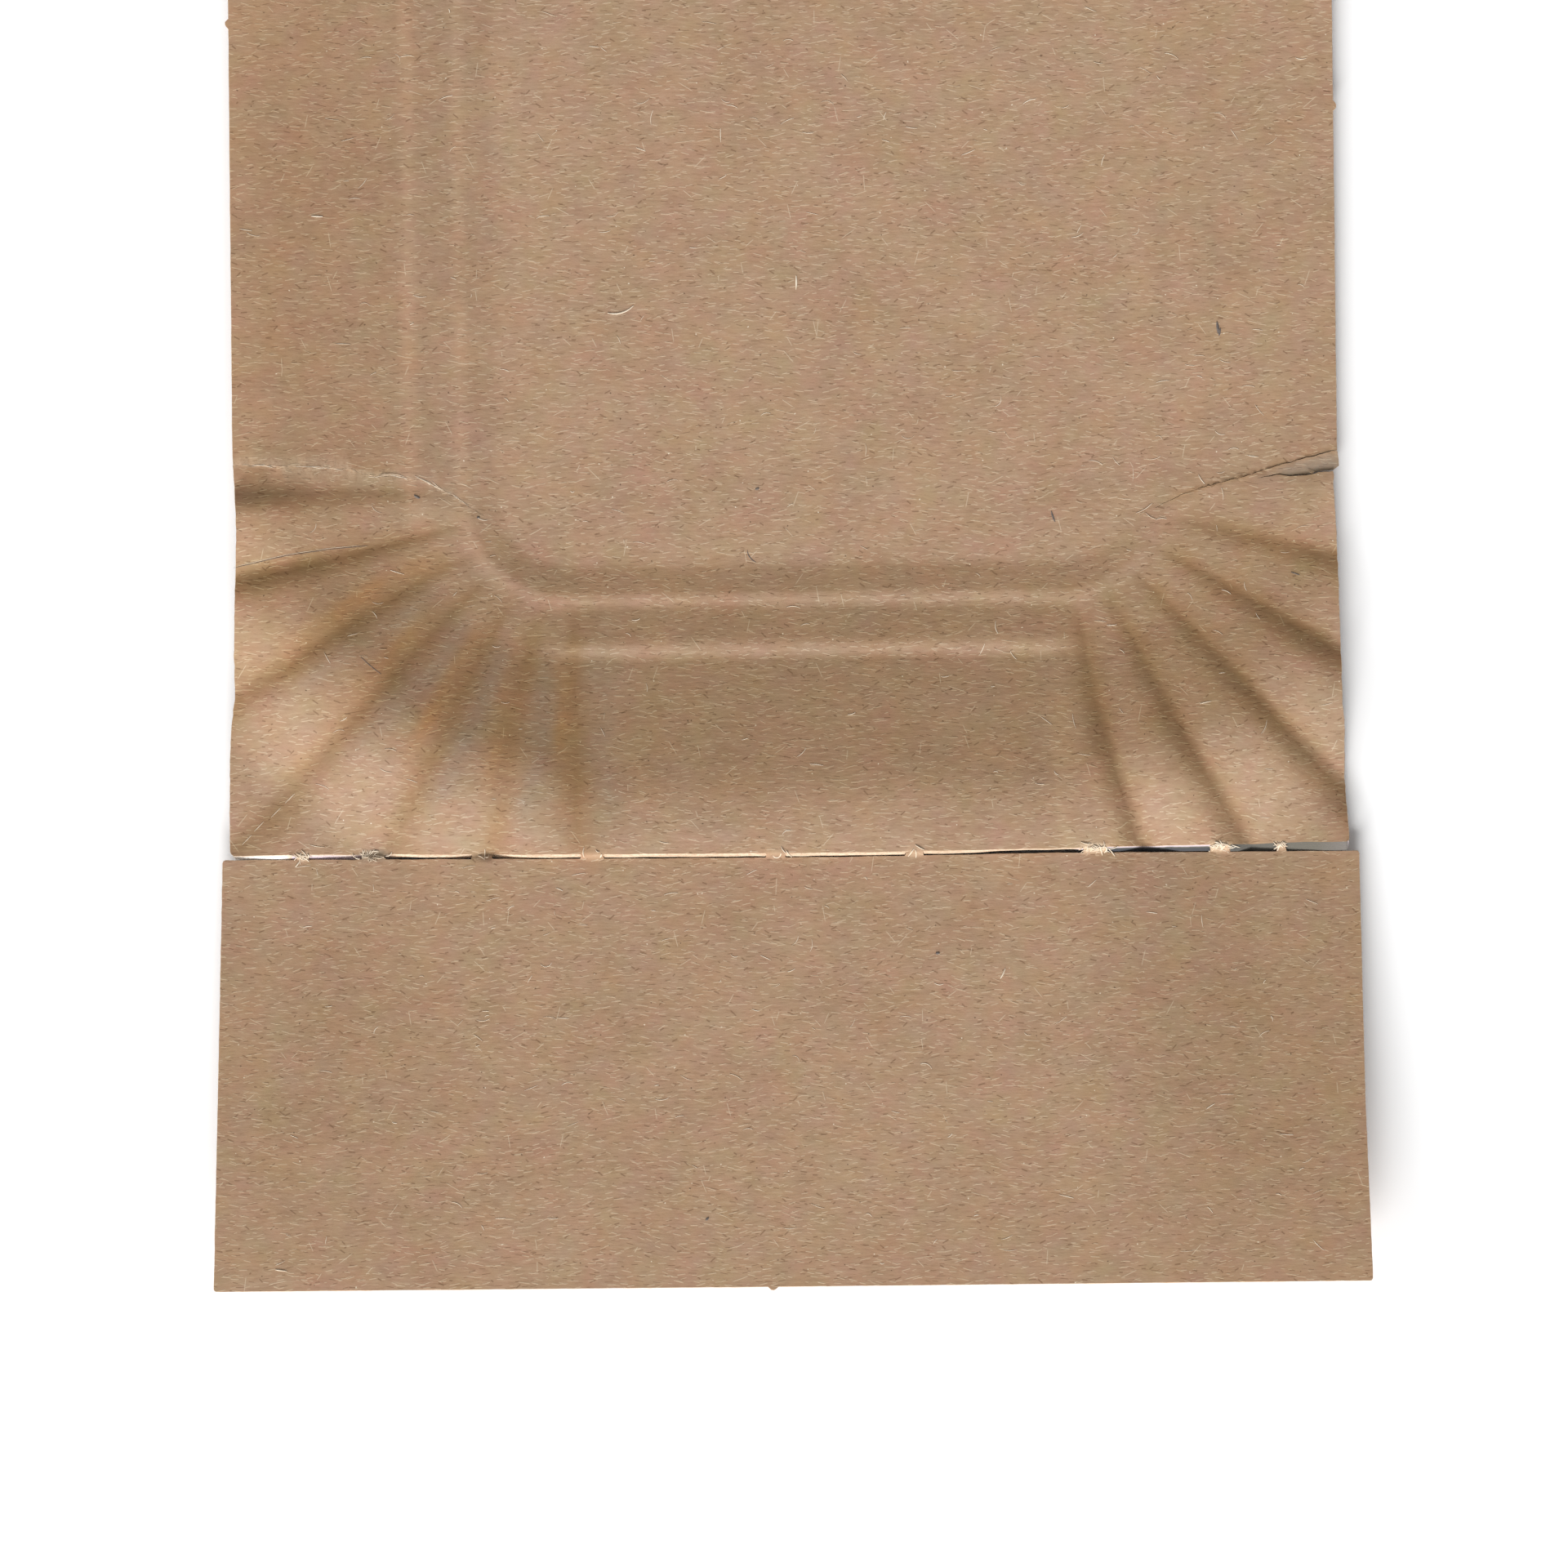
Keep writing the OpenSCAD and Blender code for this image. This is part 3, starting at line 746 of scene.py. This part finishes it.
# Dark hairs, specks and a smudge: x, y, length, angle, bend, width
MARKS = [
    (31.8, -34.6, 0.9, 95, 10, 0.22), (31.95, -34.95, 0.6, 80, 0, 0.16), (-4.33, -46.79, 0.3, 20, 0, 0.2),
    (18.77, -49.22, 0.9, -72, 10, 0.14), (9.34, -83.2, 0.3, 0, 0, 0.22), (-8.86, -103.69, 0.3, 40, 0, 0.2),
    (-30.9, -47.13, 0.5, -30, 30, 0.2), (-26.14, -48.78, 0.22, 0, 0, 0.18),
    (-34.6, -60.3, 2.1, -42, 10, 0.05), (-4.9, -52.1, 1.2, -60, 60, 0.07), (37.6, -53.9, 0.7, -20, 0, 0.09),
]
# Fibres that the photograph shows one by one, in the same way
SHOWN_FIBRES = [
    (-14.81, -32.79, 2.2, 10, 60, 0.13), (-1.09, -30.71, 1.1, 88, 10, 0.13),
    (-38.42, -25.19, 0.9, -4, 10, 0.12), (14.41, -84.85, 0.9, 62, 20, 0.12),
    (-42.09, -107.33, 0.9, -8, 0, 0.12), (30.39, -46.45, 0.9, -58, 20, 0.06),
    (32.04, -47.6, 1.0, -80, -30, 0.06), (26.4, -49.3, 1.0, -35, 40, 0.05),
    (27.2, -49.5, 0.9, 10, -60, 0.05), (25.9, -48.7, 1.5, 28, 30, 0.05),
]
SPREAD_FIBRES, TEAR_FIBRES = 560, 22


def ribbon(path, width, lift):
    """Flat strip along a path of (x, y) points that lies on the sheet, tapered to its ends."""
    path = np.array(path)
    tangent = np.gradient(path, axis=0)
    tangent /= np.maximum(np.linalg.norm(tangent, axis=1), 1e-9)[:, None]
    normal = np.stack([-tangent[:, 1], tangent[:, 0]], 1)
    taper = np.sin(np.linspace(0.25, math.pi - 0.25, len(path))) ** 0.6
    half = normal * (width / 2 * taper)[:, None]
    z = under_z(path[:, 0], path[:, 1]) + BOARD_T
    edge = np.full(len(path), 0.012)
    ridge = lift * np.sin(np.linspace(0.15, math.pi - 0.15, len(path)))
    left = np.column_stack([path + half, z + edge + ridge * 0.4])
    mid = np.column_stack([path, z + edge + width * 0.35 + ridge])
    right = np.column_stack([path - half, z + edge + ridge * 0.4])
    return np.stack([left, mid, right], 1)


def fibre_path(x, y, length, angle, bend, n=7):
    s = np.linspace(-0.5, 0.5, n)
    turn = angle + bend * s
    dx = np.cos(turn) * length / (n - 1)
    dy = np.sin(turn) * length / (n - 1)
    px, py = np.cumsum(dx), np.cumsum(dy)
    return np.column_stack([x + px - px.mean(), y + py - py.mean()])


def placed(rows, lift):
    """A strip for each row of a table."""
    strips = []
    for x, y, length, angle, bend, width in rows:
        path = fibre_path(x, y, length, math.radians(angle), math.radians(bend))
        strips.append(ribbon(path, width, lift))
    return strips


def broken_line(line, length, step, shift, width):
    """Flat strips of some points each along a fold, moved aside by the shift: the fold's painted shade and
    painted highlight.
    """
    starts = range(0, len(line) - length + 1, step)
    return [ribbon(line[k:k + length] + shift, width, 0.0) for k in starts]


def rubbed_strips():
    """The fold at the sheet's corner, where its skin is rubbed off."""
    line = np.array(resample(RUBBED_FOLD, 0.5))
    starts = range(0, len(line) - 2, 3)
    return [ribbon(line[k:k + 3] + rng.normal(0, 0.04, 2), 0.045, 0.0) for k in starts]


def spread_fibres():
    """Fibres all over the sheet, most of them along its width."""
    strips = []
    for _ in range(SPREAD_FIBRES):
        x, y = rng.uniform(-45, 41), rng.uniform(-108, 74)
        spread = 0.3 if rng.random() < 0.6 else 1.4
        path = fibre_path(x, y, rng.uniform(0.3, 1.2), rng.normal(0, spread), rng.normal(0, 0.8))
        inside = (path[:, 0] > -44.6) & (path[:, 0] < 40.5) & (path[:, 1] > -108.5)
        clear = np.abs(path[:, 1] - CUT_Y) > 0.5
        if inside.all() and clear.all():
            strips.append(ribbon(path, rng.uniform(0.03, 0.06), 0.01))
    return strips


def tear_fibres():
    """Raised fibres along the left tear."""
    strips = []
    for _ in range(TEAR_FIBRES):
        x = rng.uniform(-45, -26.5)
        y = float(line_y(LEFT_TEAR, x)) + rng.normal(0, 0.05)
        slope = float(line_y(LEFT_TEAR, x + 0.3) - line_y(LEFT_TEAR, x - 0.3)) / 0.6
        length = rng.uniform(0.6, 1.9)
        angle = math.atan(slope) + rng.normal(0, 0.08)
        path = fibre_path(x, y, length, angle, rng.normal(0, 0.3))
        if (path[:, 0] > -45.0).all():
            strips.append(ribbon(path, rng.uniform(0.03, 0.05), 0.01))
    return strips


def nick_tufts():
    """Tufts pulled out of the nicks, more of them where a nick is more torn."""
    strips = []
    for nick_x, width, amount in NICKS:
        for _ in range(int(1 + 26 * amount)):
            x = nick_x + rng.normal(0, width * 0.32)
            y = -75.15 + rng.normal(0, 0.17)
            path = fibre_path(x, y, rng.uniform(0.35, 0.95), rng.normal(0, 0.9), rng.normal(0, 1.2))
            strips.append(ribbon(path, rng.uniform(0.06, 0.12), 0.07))
    return strips


def build_fibres():
    fold_line = np.array(resample(LEFT_FOLD, 0.6))
    # Dark marks, and the left fold's painted shade as a dark strip just below its line
    dark = placed(MARKS, 0.0) + broken_line(fold_line, 6, 4, (0, -0.05), 0.04)
    # The left fold's painted highlight as a pale strip just above its line, then fibres
    pale = broken_line(fold_line, 7, 5, (0, 0.04), 0.03)
    pale += rubbed_strips()
    pale += placed(SHOWN_FIBRES, 0.03)
    pale += spread_fibres()
    pale += tear_fibres()
    pale += nick_tufts()
    strips = dark + pale
    points = np.concatenate([s.reshape(-1, 3) for s in strips]) * MM
    faces, start = [], 0
    for s in strips:
        for k in range(len(s) - 1):
            a = start + 3 * k
            faces += [(a, a + 3, a + 4, a + 1), (a + 1, a + 4, a + 5, a + 2)]
        start += 3 * len(s)
    mesh = bpy.data.meshes.new("fibres")
    mesh.from_pydata([tuple(map(float, p)) for p in points], [], faces)
    mesh.polygons.foreach_set("use_smooth", np.ones(len(faces), bool))
    dark_faces = sum(2 * (len(strip) - 1) for strip in dark)
    slots = (np.arange(len(faces)) < dark_faces).astype(np.int32)
    mesh.polygons.foreach_set("material_index", slots)
    mesh.update()
    return linked("fibres", mesh)


# Materials

class Graph:
    """Short ways to add and join shader nodes."""

    def __init__(self, name):
        self.material = bpy.data.materials.new(name)
        self.material.use_nodes = True
        self.nodes = self.material.node_tree.nodes
        self.links = self.material.node_tree.links
        self.nodes.clear()

    def put(self, socket, value):
        if hasattr(value, "is_output"):
            self.links.new(value, socket)
        elif value is not None:
            socket.default_value = value

    def node(self, kind, inputs=(), out=0, **settings):
        n = self.nodes.new(kind)
        for key, value in settings.items():
            setattr(n, key, value)
        for key, value in dict(inputs).items():
            self.put(n.inputs[key], value)
        return n.outputs[out]

    def math(self, op, a, b=0.0, clamp=False):
        return self.node("ShaderNodeMath", {0: a, 1: b}, operation=op, use_clamp=clamp)

    def vector(self, op, a, b=(0, 0, 0)):
        return self.node("ShaderNodeVectorMath", {0: a, 1: b}, operation=op)

    def noise(self, at, scale, detail=2.0, rough=0.5, distortion=0.0, out="Fac"):
        n = self.nodes.new("ShaderNodeTexNoise")
        self.put(n.inputs["Vector"], at)
        n.inputs["Scale"].default_value = scale
        n.inputs["Detail"].default_value = detail
        n.inputs["Roughness"].default_value = rough
        n.inputs["Distortion"].default_value = distortion
        return n.outputs[out]

    def step(self, value, low, high, smooth_step=True):
        n = self.nodes.new("ShaderNodeMapRange")
        n.interpolation_type = "SMOOTHSTEP" if smooth_step else "LINEAR"
        self.put(n.inputs["Value"], value)
        n.inputs["From Min"].default_value = low
        n.inputs["From Max"].default_value = high
        return n.outputs["Result"]

    def mix(self, factor, a, b, blend="MIX"):
        n = self.nodes.new("ShaderNodeMix")
        n.data_type = "RGBA"
        n.blend_type = blend
        self.put(n.inputs[0], factor)
        self.put(n.inputs[6], a)
        self.put(n.inputs[7], b)
        return n.outputs[2]

    def over(self, base, amount, strength, colour, clamp=False):
        """Lays a colour over the base, by an amount times its strength."""
        return self.mix(self.math("MULTIPLY", amount, strength, clamp), base, colour)

    def tint(self, base, amount, colour):
        """Multiplies the base by a colour, by an amount."""
        return self.mix(amount, base, self.mix(1.0, base, colour, "MULTIPLY"))

    def look(self, name):
        """A value that the sheet holds for each of its points."""
        return self.node("ShaderNodeAttribute", out="Fac", attribute_name=name)

    def dashes(self, at, cell, length, width, spread, density, offset):
        """Short fibres scattered one to a cell, each at its own angle near the sheet's width."""
        here = self.vector("ADD", at, (offset, offset * 1.7, 0))
        scaled = self.vector("MULTIPLY", here, (1 / cell, 1 / cell, 0))
        cells = self.nodes.new("ShaderNodeTexVoronoi")
        cells.voronoi_dimensions = "2D"
        cells.inputs["Scale"].default_value = 1.0
        self.put(cells.inputs["Vector"], scaled)
        part = self.nodes.new("ShaderNodeSeparateColor")
        self.put(part.inputs[0], cells.outputs["Color"])
        away = self.vector("SUBTRACT", scaled, cells.outputs["Position"])
        angle = self.math("MULTIPLY", self.math("SUBTRACT", part.outputs[0], 0.5), spread)
        turned = self.nodes.new("ShaderNodeVectorRotate")
        turned.rotation_type = "Z_AXIS"
        self.put(turned.inputs["Vector"], away)
        self.put(turned.inputs["Angle"], angle)
        axes = self.nodes.new("ShaderNodeSeparateXYZ")
        self.put(axes.inputs[0], turned.outputs[0])
        varied = self.math("MULTIPLY", part.outputs[1], 0.7 * length / cell)
        reach = self.math("ADD", varied, 0.3 * length / cell)
        along = self.math("DIVIDE", self.math("ABSOLUTE", axes.outputs[0]), reach)
        across = self.math("DIVIDE", self.math("ABSOLUTE", axes.outputs[1]), width / cell)
        body = self.math("MULTIPLY", self.step(along, 1.0, 0.6), self.step(across, 1.0, 0.3))
        there = self.math("LESS_THAN", part.outputs[2], density)
        return self.math("MULTIPLY", body, there)

    def finish(self, color, roughness, height=None, bump=0.5, distance=0.00003, specular=0.25):
        shader = self.nodes.new("ShaderNodeBsdfPrincipled")
        self.put(shader.inputs["Base Color"], color)
        self.put(shader.inputs["Roughness"], roughness)
        shader.inputs["Specular IOR Level"].default_value = specular
        if height is not None:
            relief = self.nodes.new("ShaderNodeBump")
            relief.inputs["Strength"].default_value = bump
            relief.inputs["Distance"].default_value = distance
            self.put(relief.inputs["Height"], height)
            self.put(shader.inputs["Normal"], relief.outputs[0])
        output = self.nodes.new("ShaderNodeOutputMaterial")
        self.links.new(shader.outputs[0], output.inputs[0])
        return self.material


def in_mm(g):
    at = g.node("ShaderNodeTexCoord", out="Object")
    return g.vector("MULTIPLY", at, (1000, 1000, 1000))


def stretched(g, at, x, y, z=1.0):
    return g.vector("MULTIPLY", at, (x, y, z))


BOARD_TONE = (0.907, 0.89, 0.858, 1)
PALE_FIBRE = (0.62, 0.49, 0.355, 1)

# Fibres and specks in the skin: cell, length, width, spread of angle, density, offset, strength, colour
SKIN_FIBRES = {
    "dark": (0.72, 0.45, 0.05, 0.5, 0.5, 29.9, 0.55, (0.22, 0.125, 0.07, 1)),
    "dark_broad": (0.95, 0.35, 0.08, 1.6, 0.3, 53.2, 0.6, (0.18, 0.10, 0.055, 1)),
    "light": (0.80, 0.55, 0.055, 0.6, 0.75, 3.1, 0.62, PALE_FIBRE),
    "light_small": (0.62, 0.42, 0.045, 0.9, 0.5, 17.7, 0.5, (0.62, 0.49, 0.35, 1)),
    "stray": (1.9, 0.8, 0.05, 3.1, 0.22, 41.3, 0.5, (0.68, 0.56, 0.42, 1)),
    "black_dots": (2.6, 0.09, 0.07, 3.1, 0.35, 67.1, 0.75, (0.10, 0.06, 0.035, 1)),
    "white_dots": (3.4, 0.08, 0.06, 3.1, 0.35, 83.9, 0.8, (0.85, 0.76, 0.62, 1)),
}
# How high some of them stand, where a dark one is a groove
FIBRE_HEIGHTS = {"light": 0.35, "light_small": 0.3, "stray": 0.4, "dark": -0.35}


def pulp(g, at, patches, grain, speck):
    """The board's clouded brown, before its single fibres."""
    clouds = g.noise(stretched(g, at, 0.7, 1.0), 0.16, 3.0, 0.55)
    hue = g.noise(at, 0.42, 2.0, 0.5, out="Color")
    base = g.mix(g.step(clouds, 0.3, 0.7, False), (0.375, 0.237, 0.152, 1), (0.425, 0.277, 0.180, 1))
    base = g.over(base, g.step(patches, 0.35, 0.7, False), 0.55, (0.45, 0.305, 0.205, 1))
    base = g.mix(0.11, base, g.mix(1.0, base, hue, "OVERLAY"))
    base = g.over(base, g.step(grain, 0.50, 0.32), 0.34, (0.285, 0.168, 0.10, 1))
    base = g.over(base, g.step(grain, 0.54, 0.72), 0.40, (0.53, 0.39, 0.275, 1))
    return g.over(base, g.step(speck, 0.62, 0.78), 0.30, (0.24, 0.14, 0.085, 1))


def worn_and_painted_light(g, base, at, patches):
    """The base with its torn places, its grey ply, and painted shade and light: the greyed sliver, darker
    pleat valleys, tints by slope, and fringes along the left pleats.
    """
    ragged = g.math("MULTIPLY", g.look("torn"), g.step(g.noise(at, 4.5, 3.0, 0.7), 0.25, 0.6))
    base = g.over(base, ragged, 1.0, (0.72, 0.57, 0.42, 1), True)
    # Painted shade, partly the bared ply's own grey: the sliver and the board below the crack, and a dark
    # spot at one nick
    uneven = g.math("ADD", g.math("MULTIPLY", g.noise(at, 2.6, 3.0, 0.6), 0.9), 0.4)
    base = g.over(base, g.math("MULTIPLY", g.look("ply_grey_and_shade"), uneven), 0.85, (0.235, 0.20, 0.165, 1), True)
    # Painted shade darkening the pleats' valley lines
    base = g.tint(base, g.look("painted_crease_shade"), (0.88, 0.82, 0.70, 1))
    # Painted shade and light by slope: warmer where the board faces away from the light, cooler where it
    # faces it
    slope_shade = g.look("slope_shade_tint")
    base = g.tint(base, g.step(slope_shade, 0.0, 1.0, False), (1.0, 0.97, 0.88, 1))
    base = g.tint(base, g.step(slope_shade, 0.0, -1.0, False), (1.0, 1.035, 1.07, 1))
    # Painted light: orange and bluish fringes of the lighting along the left pleats
    fringe = g.look("light_fringe")
    patchy = g.math("ADD", g.math("MULTIPLY", patches, 1.2), 0.2)
    warmer = g.math("MULTIPLY", g.step(fringe, 0.0, 1.0, False), patchy, True)
    cooler = g.math("MULTIPLY", g.step(fringe, 0.0, -1.0, False), patchy, True)
    base = g.tint(base, warmer, (1.08, 0.94, 0.70, 1))
    return g.tint(base, cooler, (0.90, 1.0, 1.14, 1))


def painted_side_shade(g, base, at):
    """Painted shade: the left side a little darker and warmer, except near the cut, where its wall faces
    away from the light, and all that lies far right a little dimmer against the light its rising wall
    catches.
    """
    axes = g.nodes.new("ShaderNodeSeparateXYZ")
    g.put(axes.inputs[0], at)
    warm = g.math("MULTIPLY", g.step(axes.outputs[0], -26.0, -40.0), g.step(axes.outputs[1], -72.0, -58.0))
    base = g.tint(base, warm, (0.985, 0.945, 0.88, 1))
    return g.tint(base, g.step(axes.outputs[0], 24.0, 32.0), (0.965, 0.965, 0.95, 1))


def board_material():
    g = Graph("kraft_board")
    at = in_mm(g)
    # A slow bend in the fibre flow
    flow = g.noise(at, 0.12, 1.0, out="Color")
    bend = g.vector("MULTIPLY", g.vector("SUBTRACT", flow, (0.5, 0.5, 0.5)), (0.8, 0.8, 0))
    flowing = g.vector("ADD", at, bend)
    patches = g.noise(stretched(g, flowing, 0.55, 1.0), 0.9, 3.0, 0.6)
    grain = g.noise(stretched(g, flowing, 0.42, 2.0), 2.4, 3.0, 0.62)
    speck = g.noise(stretched(g, flowing, 0.8, 1.6), 5.5, 2.0, 0.6)

    base = pulp(g, at, patches, grain, speck)
    seen = {}
    for name, (cell, length, width, spread, density, offset, strength, colour) in SKIN_FIBRES.items():
        seen[name] = g.dashes(flowing, cell, length, width, spread, density, offset)
        base = g.over(base, seen[name], strength, colour)
    base = worn_and_painted_light(g, base, at, patches)
    base = painted_side_shade(g, base, at)
    base = g.mix(1.0, base, BOARD_TONE, "MULTIPLY")

    height = g.math("ADD", g.math("MULTIPLY", grain, 0.9), g.math("MULTIPLY", speck, 0.3))
    for name, share in FIBRE_HEIGHTS.items():
        height = g.math("ADD", height, g.math("MULTIPLY", seen[name], share))
    roughness = g.math("ADD", g.math("MULTIPLY", patches, 0.12), 0.80)
    return g.finish(base, roughness, height, bump=0.35, distance=0.00006, specular=0.22)


def cut_material():
    g = Graph("cut_edge")
    at = in_mm(g)
    fuzz = g.noise(stretched(g, at, 1.0, 1.0, 3.0), 3.0, 4.0, 0.7)
    layers = g.noise(stretched(g, at, 0.3, 0.3, 9.0), 1.0, 2.0, 0.5)
    base = g.mix(g.step(layers, 0.35, 0.65, False), (0.56, 0.41, 0.285, 1), (0.74, 0.60, 0.45, 1))
    base = g.over(base, g.step(fuzz, 0.55, 0.38), 0.7, (0.40, 0.27, 0.175, 1))
    # Painted shade on the cut face beside the greyed sliver, and the dark spot at one nick
    base = g.over(base, g.look("ply_grey_and_shade"), 0.9, (0.17, 0.13, 0.095, 1))
    # Painted light and shade of the floor seen through the cut: white, cream, grey-violet, dark and
    # darkest, from -1 to 1
    painted_tone = g.look("painted_tone")
    base = g.mix(g.step(painted_tone, 0.0, -1.0, False), base, (0.95, 0.95, 0.95, 1))
    base = g.mix(g.step(painted_tone, 0.0, 0.3, False), base, (0.60, 0.51, 0.56, 1))
    base = g.mix(g.step(painted_tone, 0.3, 0.6, False), base, (0.13, 0.12, 0.10, 1))
    base = g.mix(g.step(painted_tone, 0.6, 1.0, False), base, (0.06, 0.062, 0.07, 1))
    return g.finish(base, 0.9, fuzz, bump=0.6, distance=0.00010, specular=0.15)


def pale_material():
    g = Graph("pale_fibre_and_highlight")
    at = in_mm(g)
    shade = g.noise(at, 0.8, 2.0, 0.6)
    base = g.mix(g.step(shade, 0.35, 0.65, False), PALE_FIBRE, (0.82, 0.72, 0.58, 1))
    return g.finish(base, 0.7, g.noise(at, 14.0, 2.0), bump=0.3, distance=0.00002, specular=0.3)


def dark_material():
    g = Graph("dark_mark_and_shade")
    shade = g.noise(in_mm(g), 3.0, 2.0, 0.6)
    base = g.mix(g.step(shade, 0.35, 0.65, False), (0.09, 0.08, 0.08, 1), (0.20, 0.165, 0.14, 1))
    return g.finish(base, 0.8, specular=0.2)


def floor_material():
    g = Graph("studio_floor")
    at = in_mm(g)
    base = g.mix(g.noise(at, 0.01, 2.0), (0.975, 0.975, 0.98, 1), (0.985, 0.985, 0.985, 1))
    return g.finish(base, 0.95, specular=0.05)


# Scene

board = build_sheet()
board.data.materials.append(board_material())
board.data.materials.append(cut_material())
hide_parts("tray")
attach(board, "root")

# Fibres and marks, with the strips of painted shade and highlight along the left fold
fibres = build_fibres()
fibres.data.materials.append(pale_material())
fibres.data.materials.append(dark_material())
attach(fibres, "root")

FLOOR_HALF, FLOOR_Z = 4.0, -0.00005
floor_mesh = bpy.data.meshes.new("studio_floor")
corners = [(sx * FLOOR_HALF, sy * FLOOR_HALF, FLOOR_Z) for sx, sy in ((-1, -1), (1, -1), (1, 1), (-1, 1))]
floor_mesh.from_pydata(corners, [], [(0, 1, 2, 3)])
floor_mesh.materials.append(floor_material())
studio_floor = linked("studio_floor", floor_mesh)


def sun(name, toward, strength, spread):
    """A far light: the direction that it comes from, its strength, and its breadth in degrees."""
    light = bpy.data.lights.new(name, "SUN")
    light.energy = strength
    light.angle = math.radians(spread)
    holder = linked(name, light)
    holder.rotation_mode = "QUATERNION"
    holder.rotation_quaternion = Vector(toward).to_track_quat("Z", "Y")


sun("key_light", (-0.25, -1.75, 1.0), 4.3, 34)
sun("side_light", (-1.7, -0.8, 0.9), 1.15, 50)
world = bpy.data.worlds.new("studio")
world.use_nodes = True
background = world.node_tree.nodes["Background"]
background.inputs["Color"].default_value = (1, 1, 1, 1)
background.inputs["Strength"].default_value = 0.33
bpy.context.scene.world = world

# Camera straight above, turned by the small angle at which the tray lay
VIEW_WIDTH, VIEW_X, VIEW_Y, VIEW_TURN = 0.1223, -0.00249, -0.06988, 0.65
# Height at which the view is exactly that wide
RIM_MIDDLE_Z = 0.003
camera_data = bpy.data.cameras.new("camera")
camera_data.lens = 350
camera_data.sensor_width = 36
camera_data.clip_start = 0.05
camera_data.clip_end = 20
camera = linked("camera", camera_data)
camera_z = RIM_MIDDLE_Z + VIEW_WIDTH * camera_data.lens / camera_data.sensor_width
camera.location = (VIEW_X, VIEW_Y, camera_z)
camera.rotation_euler = (0, 0, -math.radians(VIEW_TURN))
bpy.context.scene.camera = camera
bpy.context.scene.view_settings.view_transform = "Standard"
bpy.context.scene.view_settings.look = "None"
